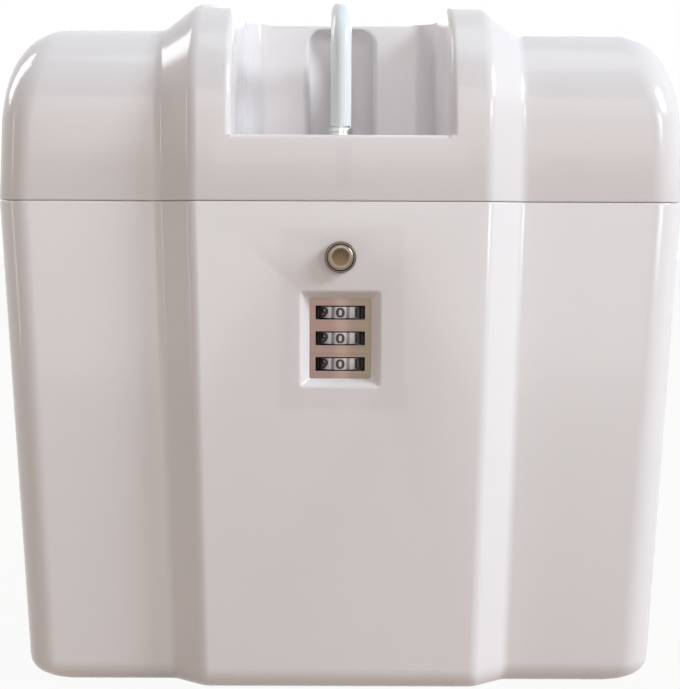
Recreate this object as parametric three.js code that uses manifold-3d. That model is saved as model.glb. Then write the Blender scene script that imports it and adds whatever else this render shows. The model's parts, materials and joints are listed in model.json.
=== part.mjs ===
// Medication lock box: a moulded tub and a hinged lid with a raised belt round both, a carrying handle
// sunk into the belt, and a push-button latch above three number wheels.
// Millimetres, +Z up. +X is to the right of someone facing the lock, and +Y runs from the lock to the
// hinge. The origin is the middle of the footprint, on the surface that the box stands on.
import * as THREE from 'three';
import { mergeVertices } from 'three/addons/utils/BufferGeometryUtils.js';
import Module from 'manifold-3d';

const wasm = await Module();
wasm.setup();

const radians = THREE.MathUtils.degToRad;

// Shells
const WIDTH = 214;
const SHELL_DEPTH = 155.4;
const BODY_HEIGHT = 153;
const LID_PANEL_HEIGHT = 55;
const WALL = 3;
const PARTING_GAP = 0.3;
const SIDE_DRAFT = radians(2.85);
const FRONT_DRAFT = radians(1.8);
const LID_DRAFT = radians(2.2);
const CORNER_RADIUS = 15;
const LID_SIDE_RADIUS = 18;
const LID_FRONT_RADIUS = 30;
const BOTTOM_RADIUS = 7.5;

// Raised belt that runs up the front, over the lid and down the rear
const BELT_PROUD = 8.5;
const BELT_HALF = 45.4;
const BELT_SLOPE_WIDTH = 10.9;
const BELT_CREST_RADIUS = 6;
const BELT_FOOT_RADIUS = 8;

// Shiplap joint between tub and lid
const LIP_HEIGHT = 3;
const LIP_THICKNESS = 1.25;

// Clearance between neighbouring pieces, between pieces that run past each other, and round a turning
// shaft or pin
const FIT = 0.3;
const RUN = 0.4;
const JOURNAL = 0.08;

// Handle pocket in the belt
const POCKET_HALF = 33.3;
const POCKET_FLOOR = 20;
const POCKET_LENGTH = 90;
const POCKET_CORNER = 7.5;
const POCKET_EDGE = 2.2;
const SILL_EDGE = 1.5;
const NICHE_RADIUS = 11.4;
const NICHE_CROWN = 5;
const NICHE_ROOF = 1.6;

// Handle
const ROD_RADIUS = 2.35;
const SLEEVE_RADIUS = 3.2;
const HANDLE_BEND = 14;
const HANDLE_FRONT_LEG = 15;
const HANDLE_REAR_LEG = 85;
const HANDLE_BELOW_TOP = 0.3;
const FERRULE_RADIUS = 3.6;
const FERRULE_HEIGHT = 2.6;
const WASHER_RADIUS = 6;
const WASHER_THICKNESS = 1;
const ROD_NUT_FLATS = 8;
const ROD_NUT_HEIGHT = 4;
const ROD_TAIL = 1.8;

// Hinge
const HINGE_KNUCKLE_RADIUS = 4.5;
const HINGE_STANDOFF = 5.1;
const HINGE_PIN_RADIUS = 1.6;
const HINGE_LENGTH = 80;
const HINGE_KNUCKLES = 5;
const HINGE_LEAF_THICKNESS = 1.6;
const HINGE_LEAF_HEIGHT = 17;
const HINGE_SCREW_HEIGHT = 11.5;
const HINGE_SCREW_INSET = 10;
const HINGE_HEAD_RADIUS = 2.8;
const HINGE_HEAD_LENGTH = 1.4;

// Lock: the wheels' middle is placed from the parting line, and the rest from the wheels
const DIALS_BELOW_PARTING = 42;
const BUTTON_ABOVE_DIALS = 25;
const LOCK_BELOW_DIALS = 20;
const LOCK_ABOVE_BUTTON = 8.2;
const LOCK_SEAT_WALL = 2.35;
const LOCK_HALF_WIDTH = 16.5;
const LOCK_DEPTH = 22;
const LOCK_WALL = 2.3;
const LOCK_PAD_MARGIN = 1.7;

// Number wheels
const DIALS = 3;
const DIAL_PITCH = 7.93;
const DIAL_RADIUS = 8.3;
const DIAL_HEIGHT = 3.7;
const DIAL_PROUD = 0.5;
const DIAL_DIGITS = 10;
const DIAL_GROOVE_DEPTH = 0.7;
const DIAL_GROOVE_ANGLE = radians(10);
const DIAL_HUB_RADIUS = 3;
const DIAL_HUB_HEIGHT = 3.7;
const SHAFT_RADIUS = 1.5;
const CODE_DISC_RADIUS = 6.5;
const CODE_DISC_THICKNESS = 1.2;
const CODE_GATE_DEPTH = 2.2;
const CODE_GATE_WIDTH = 2;

// Window plate and the sloped recess round it
const PLATE_WINDOW_WIDTH = 18.9;
const PLATE_WINDOW_HEIGHT = 24.7;
const PLATE_MARGIN = 1.8;
const PLATE_THICKNESS = 1;
const PLATE_SLOT_WIDTH = 15.2;
const PLATE_SLOT_HEIGHT = 4.3;
const RECESS_SIDE_SLOPE = 2.8;
const RECESS_END_SLOPE = 2.3;

// Push button, its bush and the latch slide behind it
const BUTTON_TRAVEL = 3;
const BUTTON_RADIUS = 3.9;
const BUTTON_BEVEL = 0.8;
const BUSH_RADIUS = 4.7;
const BUSH_BORE = 4.2;
const BUSH_REACH = 2.4;
const BUTTON_ABOVE_BUSH = 0.3;
const BUSH_NUT_FLATS = 12;
const BUSH_NUT_HEIGHT = 2;
const STEM_RADIUS = 1.5;
const SLIDE_DEPTH = 14.5;
const SLIDE_THICKNESS = 2;
const SLIDE_HALF_WIDTH = 9.1;
const SLIDE_HALF_HEIGHT = 5.5;
const HOOK_HALF_WIDTH = 4.5;
const HOOK_HEIGHT = 2.4;
const SPRING_WIRE = 0.35;
const SPRING_RADIUS = 3.2;
const SPRING_TURNS = 6;
const CLIP_RADIUS = 3.9;
const CLIP_THICKNESS = 0.8;

// Fence: a comb beside the slide whose teeth stand next to the code discs
const FENCE_THICKNESS = 1.8;
const FENCE_TOOTH_HEIGHT = 1;
const FENCE_FRONT_DEPTH = 6;
const FENCE_BAR_DEPTH = 2.4;
const FENCE_TOOTH_DEPTH = 1.2;
const FENCE_DISC_GAP = 0.4;

// Striker on the lid
const STRIKER_HALF_WIDTH = 10;
const STRIKER_THICKNESS = 1.5;
const STRIKER_BAR_HEIGHT = 1.9;
const STRIKER_RIB_HALF = 2.45;
const STRIKER_RIB_PROUD = 0.8;
const STRIKER_TOP = 15.5;
const STRIKER_SCREW_HEIGHTS = [6, 12];

// Screws, cover and code lever
const SCREW_RADIUS = 1.25;
const SCREW_HEAD_RADIUS = 2.6;
const SCREW_HEAD_HEIGHT = 1.6;
const SCREW_BITE = 1.7;
const COVER_THICKNESS = 2;
const COVER_SCREW_INSET = 3;
const LEVER_THICKNESS = 1.5;
const LEVER_LENGTH = 15;
const LEVER_WIDTH = 6;
const LEVER_BELOW_DIALS = 4;
const LEVER_TAB = 4;

// Leaf-spring comb behind the wheels
const COMB_THICKNESS = 0.4;
const COMB_FINGER_HEIGHT = 3.4;
const COMB_BASE_WIDTH = 2.6;

// Facets
const CREST_STEPS = 3;
const FOOT_STEPS = 3;
const CORNER_STEPS = 6;
const BOTTOM_STEPS = 5;
const LID_ARC_STEPS = 8;
const ROUND_STEPS = 24;
const SMALL_ROUND_STEPS = 16;
const TUBE_STEPS = 12;

// Places worked out from the sizes above
const HALF_WIDTH = WIDTH / 2;
const DIAL_CENTRE_HEIGHT = BODY_HEIGHT - DIALS_BELOW_PARTING;
const BUTTON_HEIGHT = DIAL_CENTRE_HEIGHT + BUTTON_ABOVE_DIALS;
const LOCK_BOTTOM = DIAL_CENTRE_HEIGHT - LOCK_BELOW_DIALS;
const LOCK_TOP = BUTTON_HEIGHT + LOCK_ABOVE_BUTTON;
const LEVER_PIVOT_HEIGHT = DIAL_CENTRE_HEIGHT - LEVER_BELOW_DIALS;
const LOCK_SEAT_DEPTH = (BODY_HEIGHT - LOCK_BOTTOM) * Math.tan(FRONT_DRAFT) + LOCK_SEAT_WALL;
const BUSH_FACE_DEPTH = (BODY_HEIGHT - BUTTON_HEIGHT) * Math.tan(FRONT_DRAFT);
const BUTTON_FRONT = BUSH_FACE_DEPTH - BUSH_REACH - BUTTON_ABOVE_BUSH;
const HINGE_DEPTH = SHELL_DEPTH + HINGE_STANDOFF;
const FRONT_Y = -(HINGE_DEPTH + HINGE_KNUCKLE_RADIUS + BUTTON_FRONT) / 2;
const REAR_Y = FRONT_Y + SHELL_DEPTH;
const HINGE_Y = FRONT_Y + HINGE_DEPTH;
const HINGE_SCREWS = [-1, 0, 1].map((side) => side * (HINGE_LENGTH / 2 - HINGE_SCREW_INSET));
const PARTING_LOW = BODY_HEIGHT - PARTING_GAP / 2;
const PARTING_HIGH = BODY_HEIGHT + PARTING_GAP / 2;
const LIP_TOP = BODY_HEIGHT + LIP_HEIGHT;
const LID_PANEL_TOP = BODY_HEIGHT + LID_PANEL_HEIGHT;
const LID_TOP = LID_PANEL_TOP + BELT_PROUD;
const BELT_ANGLE = Math.atan2(BELT_PROUD, BELT_SLOPE_WIDTH);
const FLOOR_Z = BODY_HEIGHT + POCKET_FLOOR;
const POCKET_REAR_Y = FRONT_Y + POCKET_LENGTH;
const LOCK_SEAT_Y = FRONT_Y + LOCK_SEAT_DEPTH;
const LOCK_FRONT_Y = LOCK_SEAT_Y + FIT;
const LOCK_REAR_Y = LOCK_FRONT_Y + LOCK_DEPTH;
const COVER_FRONT_Y = LOCK_REAR_Y + FIT;
const COVER_REAR_Y = COVER_FRONT_Y + COVER_THICKNESS;
const SHAFT_Y = LOCK_FRONT_Y + DIAL_RADIUS - DIAL_PROUD;
const SLIDE_Y = FRONT_Y + SLIDE_DEPTH;
const STRIKER_BOTTOM = LOCK_TOP + 2 * FIT;
const HOOK_BOTTOM = STRIKER_BOTTOM + STRIKER_BAR_HEIGHT + FIT;
const HOOK_TOP = HOOK_BOTTOM + HOOK_HEIGHT;
const CHAMBER_HALF = DIAL_RADIUS + 1.3;
const dialHeights = Array.from(
  { length: DIALS },
  (_, index) => DIAL_CENTRE_HEIGHT + ((DIALS - 1) / 2 - index) * DIAL_PITCH,
);
const CHAMBER_BOTTOM = dialHeights[DIALS - 1] - DIAL_HEIGHT / 2 - DIAL_HUB_HEIGHT - RUN;
const CHAMBER_TOP = dialHeights[0] + DIAL_HEIGHT / 2 + RUN;
const FENCE_INNER_X = DIAL_RADIUS + 1.1;
const FENCE_OUTER_X = FENCE_INNER_X + FENCE_THICKNESS;
const DECK_TOP = CHAMBER_TOP + LOCK_WALL;

// Solids and meshes

function solidFromArrays(vertices, triangles) {
  let volume = 0;
  const corner = [new THREE.Vector3(), new THREE.Vector3(), new THREE.Vector3()];
  for (let start = 0; start < triangles.length; start += 3) {
    corner.forEach((point, index) => point.fromArray(vertices, triangles[start + index] * 3));
    volume += corner[0].dot(corner[1].clone().cross(corner[2]));
  }
  const kept = [];
  for (let start = 0; start < triangles.length; start += 3) {
    const [a, b, c] = triangles.slice(start, start + 3);
    if (a !== b && b !== c && c !== a) {
      kept.push(...(volume > 0 ? [a, b, c] : [a, c, b]));
    }
  }
  return new wasm.Manifold(new wasm.Mesh({
    numProp: 3,
    vertProperties: new Float32Array(vertices),
    triVerts: new Uint32Array(kept),
  }));
}

function solidFromGeometry(geometry) {
  const bare = geometry.clone();
  bare.deleteAttribute('normal');
  bare.deleteAttribute('uv');
  const merged = mergeVertices(bare, 1e-4);
  return solidFromArrays(Array.from(merged.attributes.position.array), Array.from(merged.index.array));
}

function geometryFromSolid(solid) {
  const mesh = solid.getMesh();
  const geometry = new THREE.BufferGeometry();
  geometry.setAttribute('position', new THREE.Float32BufferAttribute(mesh.vertProperties, 3));
  geometry.setIndex(Array.from(mesh.triVerts));
  const faceted = geometry.toNonIndexed();
  faceted.computeVertexNormals();
  return faceted;
}

function union(solids) {
  return solids.reduce((whole, solid) => whole.add(solid));
}

function material(color, roughness, metalness) {
  return new THREE.MeshStandardMaterial({ color, roughness, metalness });
}

const shellPlastic = material(0xece7e6, 0.25, 0);
const sleeveVinyl = material(0xe9eff4, 0.3, 0);
const brightSteel = material(0xb9b9b8, 0.3, 1);
const bronzeNickel = material(0x8d7a66, 0.35, 1);
const plateBronze = material(0xa88a7a, 0.4, 1);
const wheelMetal = material(0xaaa6a6, 0.3, 1);
const lockPlastic = material(0x2e2e31, 0.55, 0);
const springSteel = material(0x8f9192, 0.35, 1);

const part = new THREE.Group();

function addPiece(name, solid, finish) {
  const mesh = new THREE.Mesh(geometryFromSolid(solid), finish);
  mesh.name = name;
  part.add(mesh);
  return mesh;
}

// Plain forms

const AXES = {
  x: [new THREE.Vector3(0, 1, 0), new THREE.Vector3(0, 0, 1), new THREE.Vector3(1, 0, 0)],
  y: [new THREE.Vector3(0, 0, 1), new THREE.Vector3(1, 0, 0), new THREE.Vector3(0, 1, 0)],
  z: [new THREE.Vector3(1, 0, 0), new THREE.Vector3(0, 1, 0), new THREE.Vector3(0, 0, 1)],
};

// The outline's axes are y, z along X, then z, x along Y, then x, y along Z
function extrude(outline, axis, low, high, steps = SMALL_ROUND_STEPS) {
  const shape = Array.isArray(outline) ? new THREE.Shape(outline.map(([a, b]) => new THREE.Vector2(a, b))) : outline;
  const geometry = new THREE.ExtrudeGeometry(shape, {
    depth: high - low,
    bevelEnabled: false,
    curveSegments: steps,
  });
  geometry.translate(0, 0, low);
  geometry.applyMatrix4(new THREE.Matrix4().makeBasis(...AXES[axis]));
  return solidFromGeometry(geometry);
}

function block(xRange, yRange, zRange) {
  const geometry = new THREE.BoxGeometry(
    xRange[1] - xRange[0],
    yRange[1] - yRange[0],
    zRange[1] - zRange[0],
  );
  geometry.translate((xRange[0] + xRange[1]) / 2, (yRange[0] + yRange[1]) / 2, (zRange[0] + zRange[1]) / 2);
  return solidFromGeometry(geometry);
}

// Profile points are [radius, distance along the axis], and start and end on the axis
function revolve(profile, axis, centre, steps = ROUND_STEPS) {
  const points = profile.map(([radius, along]) => new THREE.Vector2(radius, along));
  const geometry = new THREE.LatheGeometry(points, steps);
  geometry.rotateX(Math.PI / 2);
  geometry.applyMatrix4(new THREE.Matrix4().makeBasis(...AXES[axis]));
  geometry.translate(...centre);
  return solidFromGeometry(geometry);
}

function cylinder(radius, axis, low, high, centre, steps = ROUND_STEPS) {
  return revolve([[0, low], [radius, low], [radius, high], [0, high]], axis, centre, steps);
}

function ring(outer, inner, axis, low, high, centre, steps = ROUND_STEPS) {
  const bore = cylinder(inner, axis, low - 1, high + 1, centre, steps);
  return cylinder(outer, axis, low, high, centre, steps).subtract(bore);
}

function hexNut(flats, bore, axis, low, high, centre) {
  const body = cylinder(flats / 2 / Math.cos(Math.PI / 6), axis, low, high, centre, 6);
  return body.subtract(cylinder(bore, axis, low - 1, high + 1, centre, SMALL_ROUND_STEPS));
}

function loft(rings) {
  const count = rings[0].length;
  const vertices = rings.flat().flatMap((point) => point.toArray());
  const triangles = [];
  for (let level = 0; level + 1 < rings.length; level += 1) {
    for (let index = 0; index < count; index += 1) {
      const next = (index + 1) % count;
      const [a, b] = [level * count + index, level * count + next];
      triangles.push(a, b, b + count, a, b + count, a + count);
    }
  }
  for (const level of [0, rings.length - 1]) {
    const middle = new THREE.Vector3();
    rings[level].forEach((point) => middle.addScaledVector(point, 1 / count));
    const hub = vertices.length / 3;
    vertices.push(...middle.toArray());
    for (let index = 0; index < count; index += 1) {
      const [a, b] = [level * count + index, level * count + ((index + 1) % count)];
      triangles.push(...(level === 0 ? [hub, b, a] : [hub, a, b]));
    }
  }
  return solidFromArrays(vertices, triangles);
}

// Cross-section of the belt and panels

function roundedCorner(before, corner, after, radius, steps) {
  const into = corner.clone().sub(before).normalize();
  const away = after.clone().sub(corner).normalize();
  const turn = Math.atan2(into.cross(away), into.dot(away));
  const reach = radius * Math.tan(Math.abs(turn) / 2);
  const start = corner.clone().addScaledVector(into, -reach);
  const centre = new THREE.Vector2(-into.y, into.x).multiplyScalar(radius * Math.sign(turn)).add(start);
  return Array.from({ length: steps + 1 }, (_, step) => (
    start.clone().rotateAround(centre, (turn * step) / steps)
  ));
}

// Points [x, height over the panel] from left to right, moved inwards by inset
function beltSection(inset, cornerRadius) {
  const crest = BELT_HALF - inset * Math.tan(BELT_ANGLE / 2);
  const half = HALF_WIDTH - inset;
  const middle = new THREE.Vector2(0, BELT_PROUD);
  const crestCorner = new THREE.Vector2(crest, BELT_PROUD);
  const footCorner = new THREE.Vector2(crest + BELT_SLOPE_WIDTH, 0);
  const sideCorner = new THREE.Vector2(half, 0);
  const side = new THREE.Vector2(half, -HALF_WIDTH);
  const right = [
    ...roundedCorner(middle, crestCorner, footCorner, BELT_CREST_RADIUS - inset, CREST_STEPS),
    ...roundedCorner(crestCorner, footCorner, sideCorner, BELT_FOOT_RADIUS + inset, FOOT_STEPS),
    ...roundedCorner(footCorner, sideCorner, side, cornerRadius - inset, CORNER_STEPS),
  ];
  const left = right.map((point) => new THREE.Vector2(-point.x, point.y)).reverse();
  return [...left, ...right];
}

const beltFoot = BELT_HALF + BELT_SLOPE_WIDTH;

// How much of a side wall's shift reaches a point: none on the belt, all of it at the side
function sideShare(x) {
  return THREE.MathUtils.clamp((Math.abs(x) - beltFoot) / (HALF_WIDTH - CORNER_RADIUS - beltFoot), 0, 1);
}

// Closed outline of the tub at one height; edge draws it in for the rounded bottom
function bodyOutline(inset, draftHeight, z, edge = 0) {
  const drop = BODY_HEIGHT - draftHeight;
  const narrow = 1 - (drop * Math.tan(SIDE_DRAFT)) / HALF_WIDTH;
  const shift = drop * Math.tan(FRONT_DRAFT) + inset + edge + BELT_PROUD;
  const section = beltSection(inset, CORNER_RADIUS);
  const place = (point, y) => (
    new THREE.Vector3(point.x * narrow - Math.sign(point.x) * edge * sideShare(point.x), y, z)
  );
  const front = section.map((point) => place(point, FRONT_Y + shift - point.y));
  const rear = section.map((point) => place(point, REAR_Y - shift + point.y)).reverse();
  return [...front, ...rear];
}

function bodyForm(inset, bottom, top) {
  const radius = BOTTOM_RADIUS - inset;
  const rings = Array.from({ length: BOTTOM_STEPS + 1 }, (_, step) => {
    const angle = (Math.PI / 2) * (step / BOTTOM_STEPS);
    const z = bottom + radius * (1 - Math.cos(angle));
    return bodyOutline(inset, z, z, radius * (1 - Math.sin(angle)));
  });
  rings.push(bodyOutline(inset, top, top));
  return loft(rings);
}

function rimForm(inset, bottom, top) {
  return loft([bodyOutline(inset, BODY_HEIGHT, bottom), bodyOutline(inset, BODY_HEIGHT, top)]);
}

// Stations of the lid's side profile, each with its outward direction
function lidStations(inset, bottom) {
  const radius = LID_FRONT_RADIUS - inset;
  const centreZ = LID_PANEL_TOP - LID_FRONT_RADIUS;
  const arcAngles = Array.from({ length: LID_ARC_STEPS + 1 }, (_, step) => (Math.PI / 2) * (step / LID_ARC_STEPS));
  const cornerRadius = (angle) => CORNER_RADIUS + (LID_SIDE_RADIUS - CORNER_RADIUS) * Math.sin(angle);
  const half = (centreY, sign) => [
    { y: centreY - sign * radius, z: bottom, normal: [-sign, 0], corner: CORNER_RADIUS },
    ...arcAngles.map((angle) => ({
      y: centreY - sign * radius * Math.cos(angle),
      z: centreZ + radius * Math.sin(angle),
      normal: [-sign * Math.cos(angle), Math.sin(angle)],
      corner: cornerRadius(angle),
    })),
  ];
  const front = half(FRONT_Y + BELT_PROUD + LID_FRONT_RADIUS, 1);
  const rear = half(REAR_Y - BELT_PROUD - LID_FRONT_RADIUS, -1).reverse();
  return [...front, ...rear];
}

function lidPoint(station, point) {
  const z = station.z + station.normal[1] * point.y;
  const lean = Math.max(0, z - BODY_HEIGHT) * Math.tan(LID_DRAFT) * sideShare(point.x);
  return new THREE.Vector3(point.x - Math.sign(point.x) * lean, station.y + station.normal[0] * point.y, z);
}

// The lid's outer or inner form: its section swept along the side profile, closed at sides and bottom
function lidForm(inset, bottom) {
  const rows = lidStations(inset, bottom).map((station) => (
    beltSection(inset, station.corner).map((point) => lidPoint(station, point))
  ));
  const columns = rows[0].length;
  const last = rows.length - 1;
  const vertices = rows.flat().flatMap((point) => point.toArray());
  const at = (row, column) => row * columns + column;
  const triangles = [];
  for (let row = 0; row < last; row += 1) {
    for (let column = 0; column + 1 < columns; column += 1) {
      const [a, b] = [at(row, column), at(row, column + 1)];
      const [c, d] = [at(row + 1, column + 1), at(row + 1, column)];
      triangles.push(a, b, c, a, c, d);
    }
  }
  const middleY = (rows[0][0].y + rows[last][0].y) / 2;
  const middles = [rows[0][0].x, 0, rows[0][columns - 1].x].map((x) => {
    vertices.push(x, middleY, bottom);
    return vertices.length / 3 - 1;
  });
  for (let row = 0; row < last; row += 1) {
    triangles.push(middles[0], at(row, 0), at(row + 1, 0));
    triangles.push(middles[2], at(row + 1, columns - 1), at(row, columns - 1));
  }
  for (let column = 0; column + 1 < columns; column += 1) {
    triangles.push(middles[1], at(0, column + 1), at(0, column));
    triangles.push(middles[1], at(last, column), at(last, column + 1));
  }
  triangles.push(middles[1], at(0, 0), middles[0], middles[1], middles[0], at(last, 0));
  triangles.push(middles[1], middles[2], at(0, columns - 1), middles[1], at(last, columns - 1), middles[2]);
  return solidFromArrays(vertices, triangles);
}

// Holes for the hinge screws in the rear walls of tub and lid

function hingeScrewHoles(direction) {
  return HINGE_SCREWS.map((x) => cylinder(
    SCREW_RADIUS + FIT,
    'y',
    REAR_Y - 2 * WALL,
    REAR_Y + WALL,
    [x, 0, BODY_HEIGHT + direction * HINGE_SCREW_HEIGHT],
    SMALL_ROUND_STEPS,
  ));
}

// Tub

const coverScrews = [-1, 1].flatMap((sideX) => [
  [sideX * (LOCK_HALF_WIDTH - COVER_SCREW_INSET), LOCK_TOP - COVER_SCREW_INSET],
  [sideX * (LOCK_HALF_WIDTH - COVER_SCREW_INSET), LOCK_BOTTOM + COVER_SCREW_INSET],
]);

function slopedRecess() {
  const faceDepth = (BODY_HEIGHT - DIAL_CENTRE_HEIGHT) * Math.tan(FRONT_DRAFT);
  const throat = LOCK_SEAT_DEPTH - faceDepth;
  const rings = [[LOCK_SEAT_DEPTH + 1, -1 / throat], [faceDepth, 1], [faceDepth - throat, 2]].map(([depth, share]) => {
    const halfX = PLATE_WINDOW_WIDTH / 2 + RECESS_SIDE_SLOPE * Math.max(0, share);
    const halfZ = PLATE_WINDOW_HEIGHT / 2 + RECESS_END_SLOPE * Math.max(0, share);
    const y = FRONT_Y + depth;
    return [[-halfX, -halfZ], [halfX, -halfZ], [halfX, halfZ], [-halfX, halfZ]].map(([x, z]) => (
      new THREE.Vector3(x, y, DIAL_CENTRE_HEIGHT + z)
    ));
  });
  const seat = rings[0].map((point) => point.clone().setY(LOCK_SEAT_Y));
  return loft([rings[0], seat, rings[1], rings[2]]);
}

function makeBody() {
  const lipOuter = WALL - LIP_THICKNESS;
  const walls = bodyForm(0, 0, PARTING_LOW).subtract(bodyForm(WALL, WALL, BODY_HEIGHT + 1));
  const lip = rimForm(lipOuter, BODY_HEIGHT - 1, LIP_TOP).subtract(rimForm(WALL, BODY_HEIGHT - 2, LIP_TOP + 1));
  const padHalf = LOCK_HALF_WIDTH + LOCK_PAD_MARGIN;
  const padLow = LOCK_BOTTOM - LOCK_PAD_MARGIN;
  const pad = block([-padHalf, padHalf], [LOCK_SEAT_Y - WALL / 2, LOCK_SEAT_Y], [padLow, LOCK_TOP + FIT]);
  const clearAhead = block([-padHalf, padHalf], [LOCK_SEAT_Y, LOCK_REAR_Y], [padLow, LOCK_TOP + FIT]);
  const bushHole = cylinder(
    BUSH_RADIUS + FIT,
    'y',
    FRONT_Y - WALL,
    LOCK_SEAT_Y + 1,
    [0, 0, BUTTON_HEIGHT],
    ROUND_STEPS,
  );
  const pilots = coverScrews.map(([x, z]) => cylinder(
    SCREW_RADIUS + FIT,
    'y',
    LOCK_SEAT_Y - SCREW_BITE - FIT,
    LOCK_SEAT_Y + 1,
    [x, 0, z],
    SMALL_ROUND_STEPS,
  ));
  return union([walls, lip, pad])
    .subtract(clearAhead)
    .subtract(slopedRecess())
    .subtract(bushHole)
    .subtract(union(pilots))
    .subtract(union(hingeScrewHoles(-1)));
}

addPiece('body_shell', makeBody(), shellPlastic);

// Lid

function pocketOutline(grow) {
  const half = POCKET_HALF + grow;
  const rear = POCKET_REAR_Y + grow;
  const corner = POCKET_CORNER + grow;
  const shape = new THREE.Shape();
  shape.moveTo(-half, FRONT_Y - 2 * WALL);
  shape.lineTo(half, FRONT_Y - 2 * WALL);
  shape.lineTo(half, rear - corner);
  shape.absarc(half - corner, rear - corner, corner, 0, Math.PI / 2);
  shape.lineTo(-half + corner, rear);
  shape.absarc(-half + corner, rear - corner, corner, Math.PI / 2, Math.PI);
  shape.closePath();
  return shape;
}

function nicheForm(grow) {
  const radius = NICHE_RADIUS + grow;
  const ceiling = LID_TOP - NICHE_ROOF + grow;
  const crown = Array.from({ length: 5 }, (_, step) => {
    const angle = (Math.PI / 2) * (step / 4);
    return [
      radius - NICHE_CROWN * (1 - Math.cos(angle)),
      ceiling - NICHE_CROWN * (1 - Math.sin(angle)),
    ];
  });
  return revolve([
    [0, FLOOR_Z - grow],
    [radius, FLOOR_Z - grow],
    ...crown,
    [0, ceiling],
  ], 'z', [0, POCKET_REAR_Y, 0]);
}

// Rounds the pocket's two long top edges, along the belt's curve from the sill to the rear wall
function pocketEdgeCutter(sign) {
  const stations = lidStations(0, FLOOR_Z).slice(0, LID_ARC_STEPS + 2);
  const flat = stations[stations.length - 1];
  stations.push({ ...flat, y: POCKET_REAR_Y - POCKET_CORNER });
  const outer = POCKET_HALF + POCKET_EDGE;
  const arc = Array.from({ length: 5 }, (_, step) => {
    const angle = (Math.PI / 2) * (step / 4);
    return new THREE.Vector2(
      outer - POCKET_EDGE * Math.cos(angle),
      BELT_PROUD - POCKET_EDGE + POCKET_EDGE * Math.sin(angle),
    );
  });
  const section = [
    ...arc,
    new THREE.Vector2(outer, BELT_PROUD + POCKET_EDGE),
    new THREE.Vector2(POCKET_HALF - POCKET_EDGE, BELT_PROUD + POCKET_EDGE),
    new THREE.Vector2(POCKET_HALF - POCKET_EDGE, BELT_PROUD - POCKET_EDGE),
  ];
  return loft(stations.map((station) => section.map((point) => (
    new THREE.Vector3(sign * point.x, station.y + station.normal[0] * point.y, station.z + station.normal[1] * point.y)
  ))));
}

// Quarter-round cutter for a straight edge along X; inY and inZ point from the edge into the solid
function edgeRound(y, z, inY, inZ, radius, half) {
  const arc = Array.from({ length: 5 }, (_, step) => {
    const angle = (Math.PI / 2) * (step / 4);
    return [y + inY * radius * (1 - Math.cos(angle)), z + inZ * radius * (1 - Math.sin(angle))];
  });
  return extrude([...arc, [y + inY * radius, z - inZ * radius], [y - inY * radius, z - inZ * radius],
    [y - inY * radius, z + inZ * radius]], 'x', -half, half);
}

function makeLid() {
  const outer = lidForm(0, PARTING_HIGH);
  const lapInset = WALL - LIP_THICKNESS - FIT;
  const shell = outer
    .subtract(lidForm(WALL, BODY_HEIGHT - 1))
    .subtract(rimForm(lapInset, BODY_HEIGHT - 1, LIP_TOP + FIT));
  const pocketWalls = extrude(pocketOutline(WALL), 'z', FLOOR_Z - WALL, LID_TOP + 1)
    .add(nicheForm(WALL))
    .intersect(outer);
  const ribFront = FRONT_Y + WALL / 2;
  const ribRear = FRONT_Y + WALL + STRIKER_RIB_PROUD;
  const rib = block(
    [-STRIKER_RIB_HALF, STRIKER_RIB_HALF],
    [ribFront, ribRear],
    [LIP_TOP + FIT, FLOOR_Z - WALL / 2],
  );
  const pilots = STRIKER_SCREW_HEIGHTS.map((height) => cylinder(
    SCREW_RADIUS + FIT,
    'y',
    ribRear - SCREW_BITE - FIT,
    ribRear + 1,
    [0, 0, BODY_HEIGHT + height],
    SMALL_ROUND_STEPS,
  ));
  const rodHoles = [HANDLE_FRONT_LEG, HANDLE_REAR_LEG].map((leg) => cylinder(
    ROD_RADIUS + FIT,
    'z',
    FLOOR_Z - 2 * WALL,
    FLOOR_Z + 1,
    [0, FRONT_Y + leg, 0],
    SMALL_ROUND_STEPS,
  ));
  const sill = edgeRound(FRONT_Y, FLOOR_Z, 1, -1, SILL_EDGE, POCKET_HALF);
  const rearEdge = edgeRound(POCKET_REAR_Y, LID_TOP, 1, -1, SILL_EDGE, POCKET_HALF - POCKET_CORNER);
  return union([shell, pocketWalls, rib])
    .subtract(extrude(pocketOutline(0), 'z', FLOOR_Z, LID_TOP + WALL))
    .subtract(nicheForm(0))
    .subtract(pocketEdgeCutter(1))
    .subtract(pocketEdgeCutter(-1))
    .subtract(sill)
    .subtract(rearEdge)
    .subtract(union([...pilots, ...rodHoles, ...hingeScrewHoles(1)]));
}

addPiece('lid_shell', makeLid(), shellPlastic);

// Screws with a low cylindrical head; the head's seat is at seatY and the shank points to -Y

function screw(x, z, seatY, length) {
  return revolve([
    [0, seatY - length],
    [SCREW_RADIUS, seatY - length],
    [SCREW_RADIUS, seatY],
    [SCREW_HEAD_RADIUS, seatY],
    [SCREW_HEAD_RADIUS, seatY + SCREW_HEAD_HEIGHT * 0.7],
    [SCREW_HEAD_RADIUS * 0.8, seatY + SCREW_HEAD_HEIGHT],
    [0, seatY + SCREW_HEAD_HEIGHT],
  ], 'y', [x, 0, z], 12);
}

// Hinge: two moulded leaves screwed to the rear of the belt, whose knuckles share one pin

const LEAF_FRONT_Y = REAR_Y + FIT;
const LEAF_REAR_Y = LEAF_FRONT_Y + HINGE_LEAF_THICKNESS;

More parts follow.
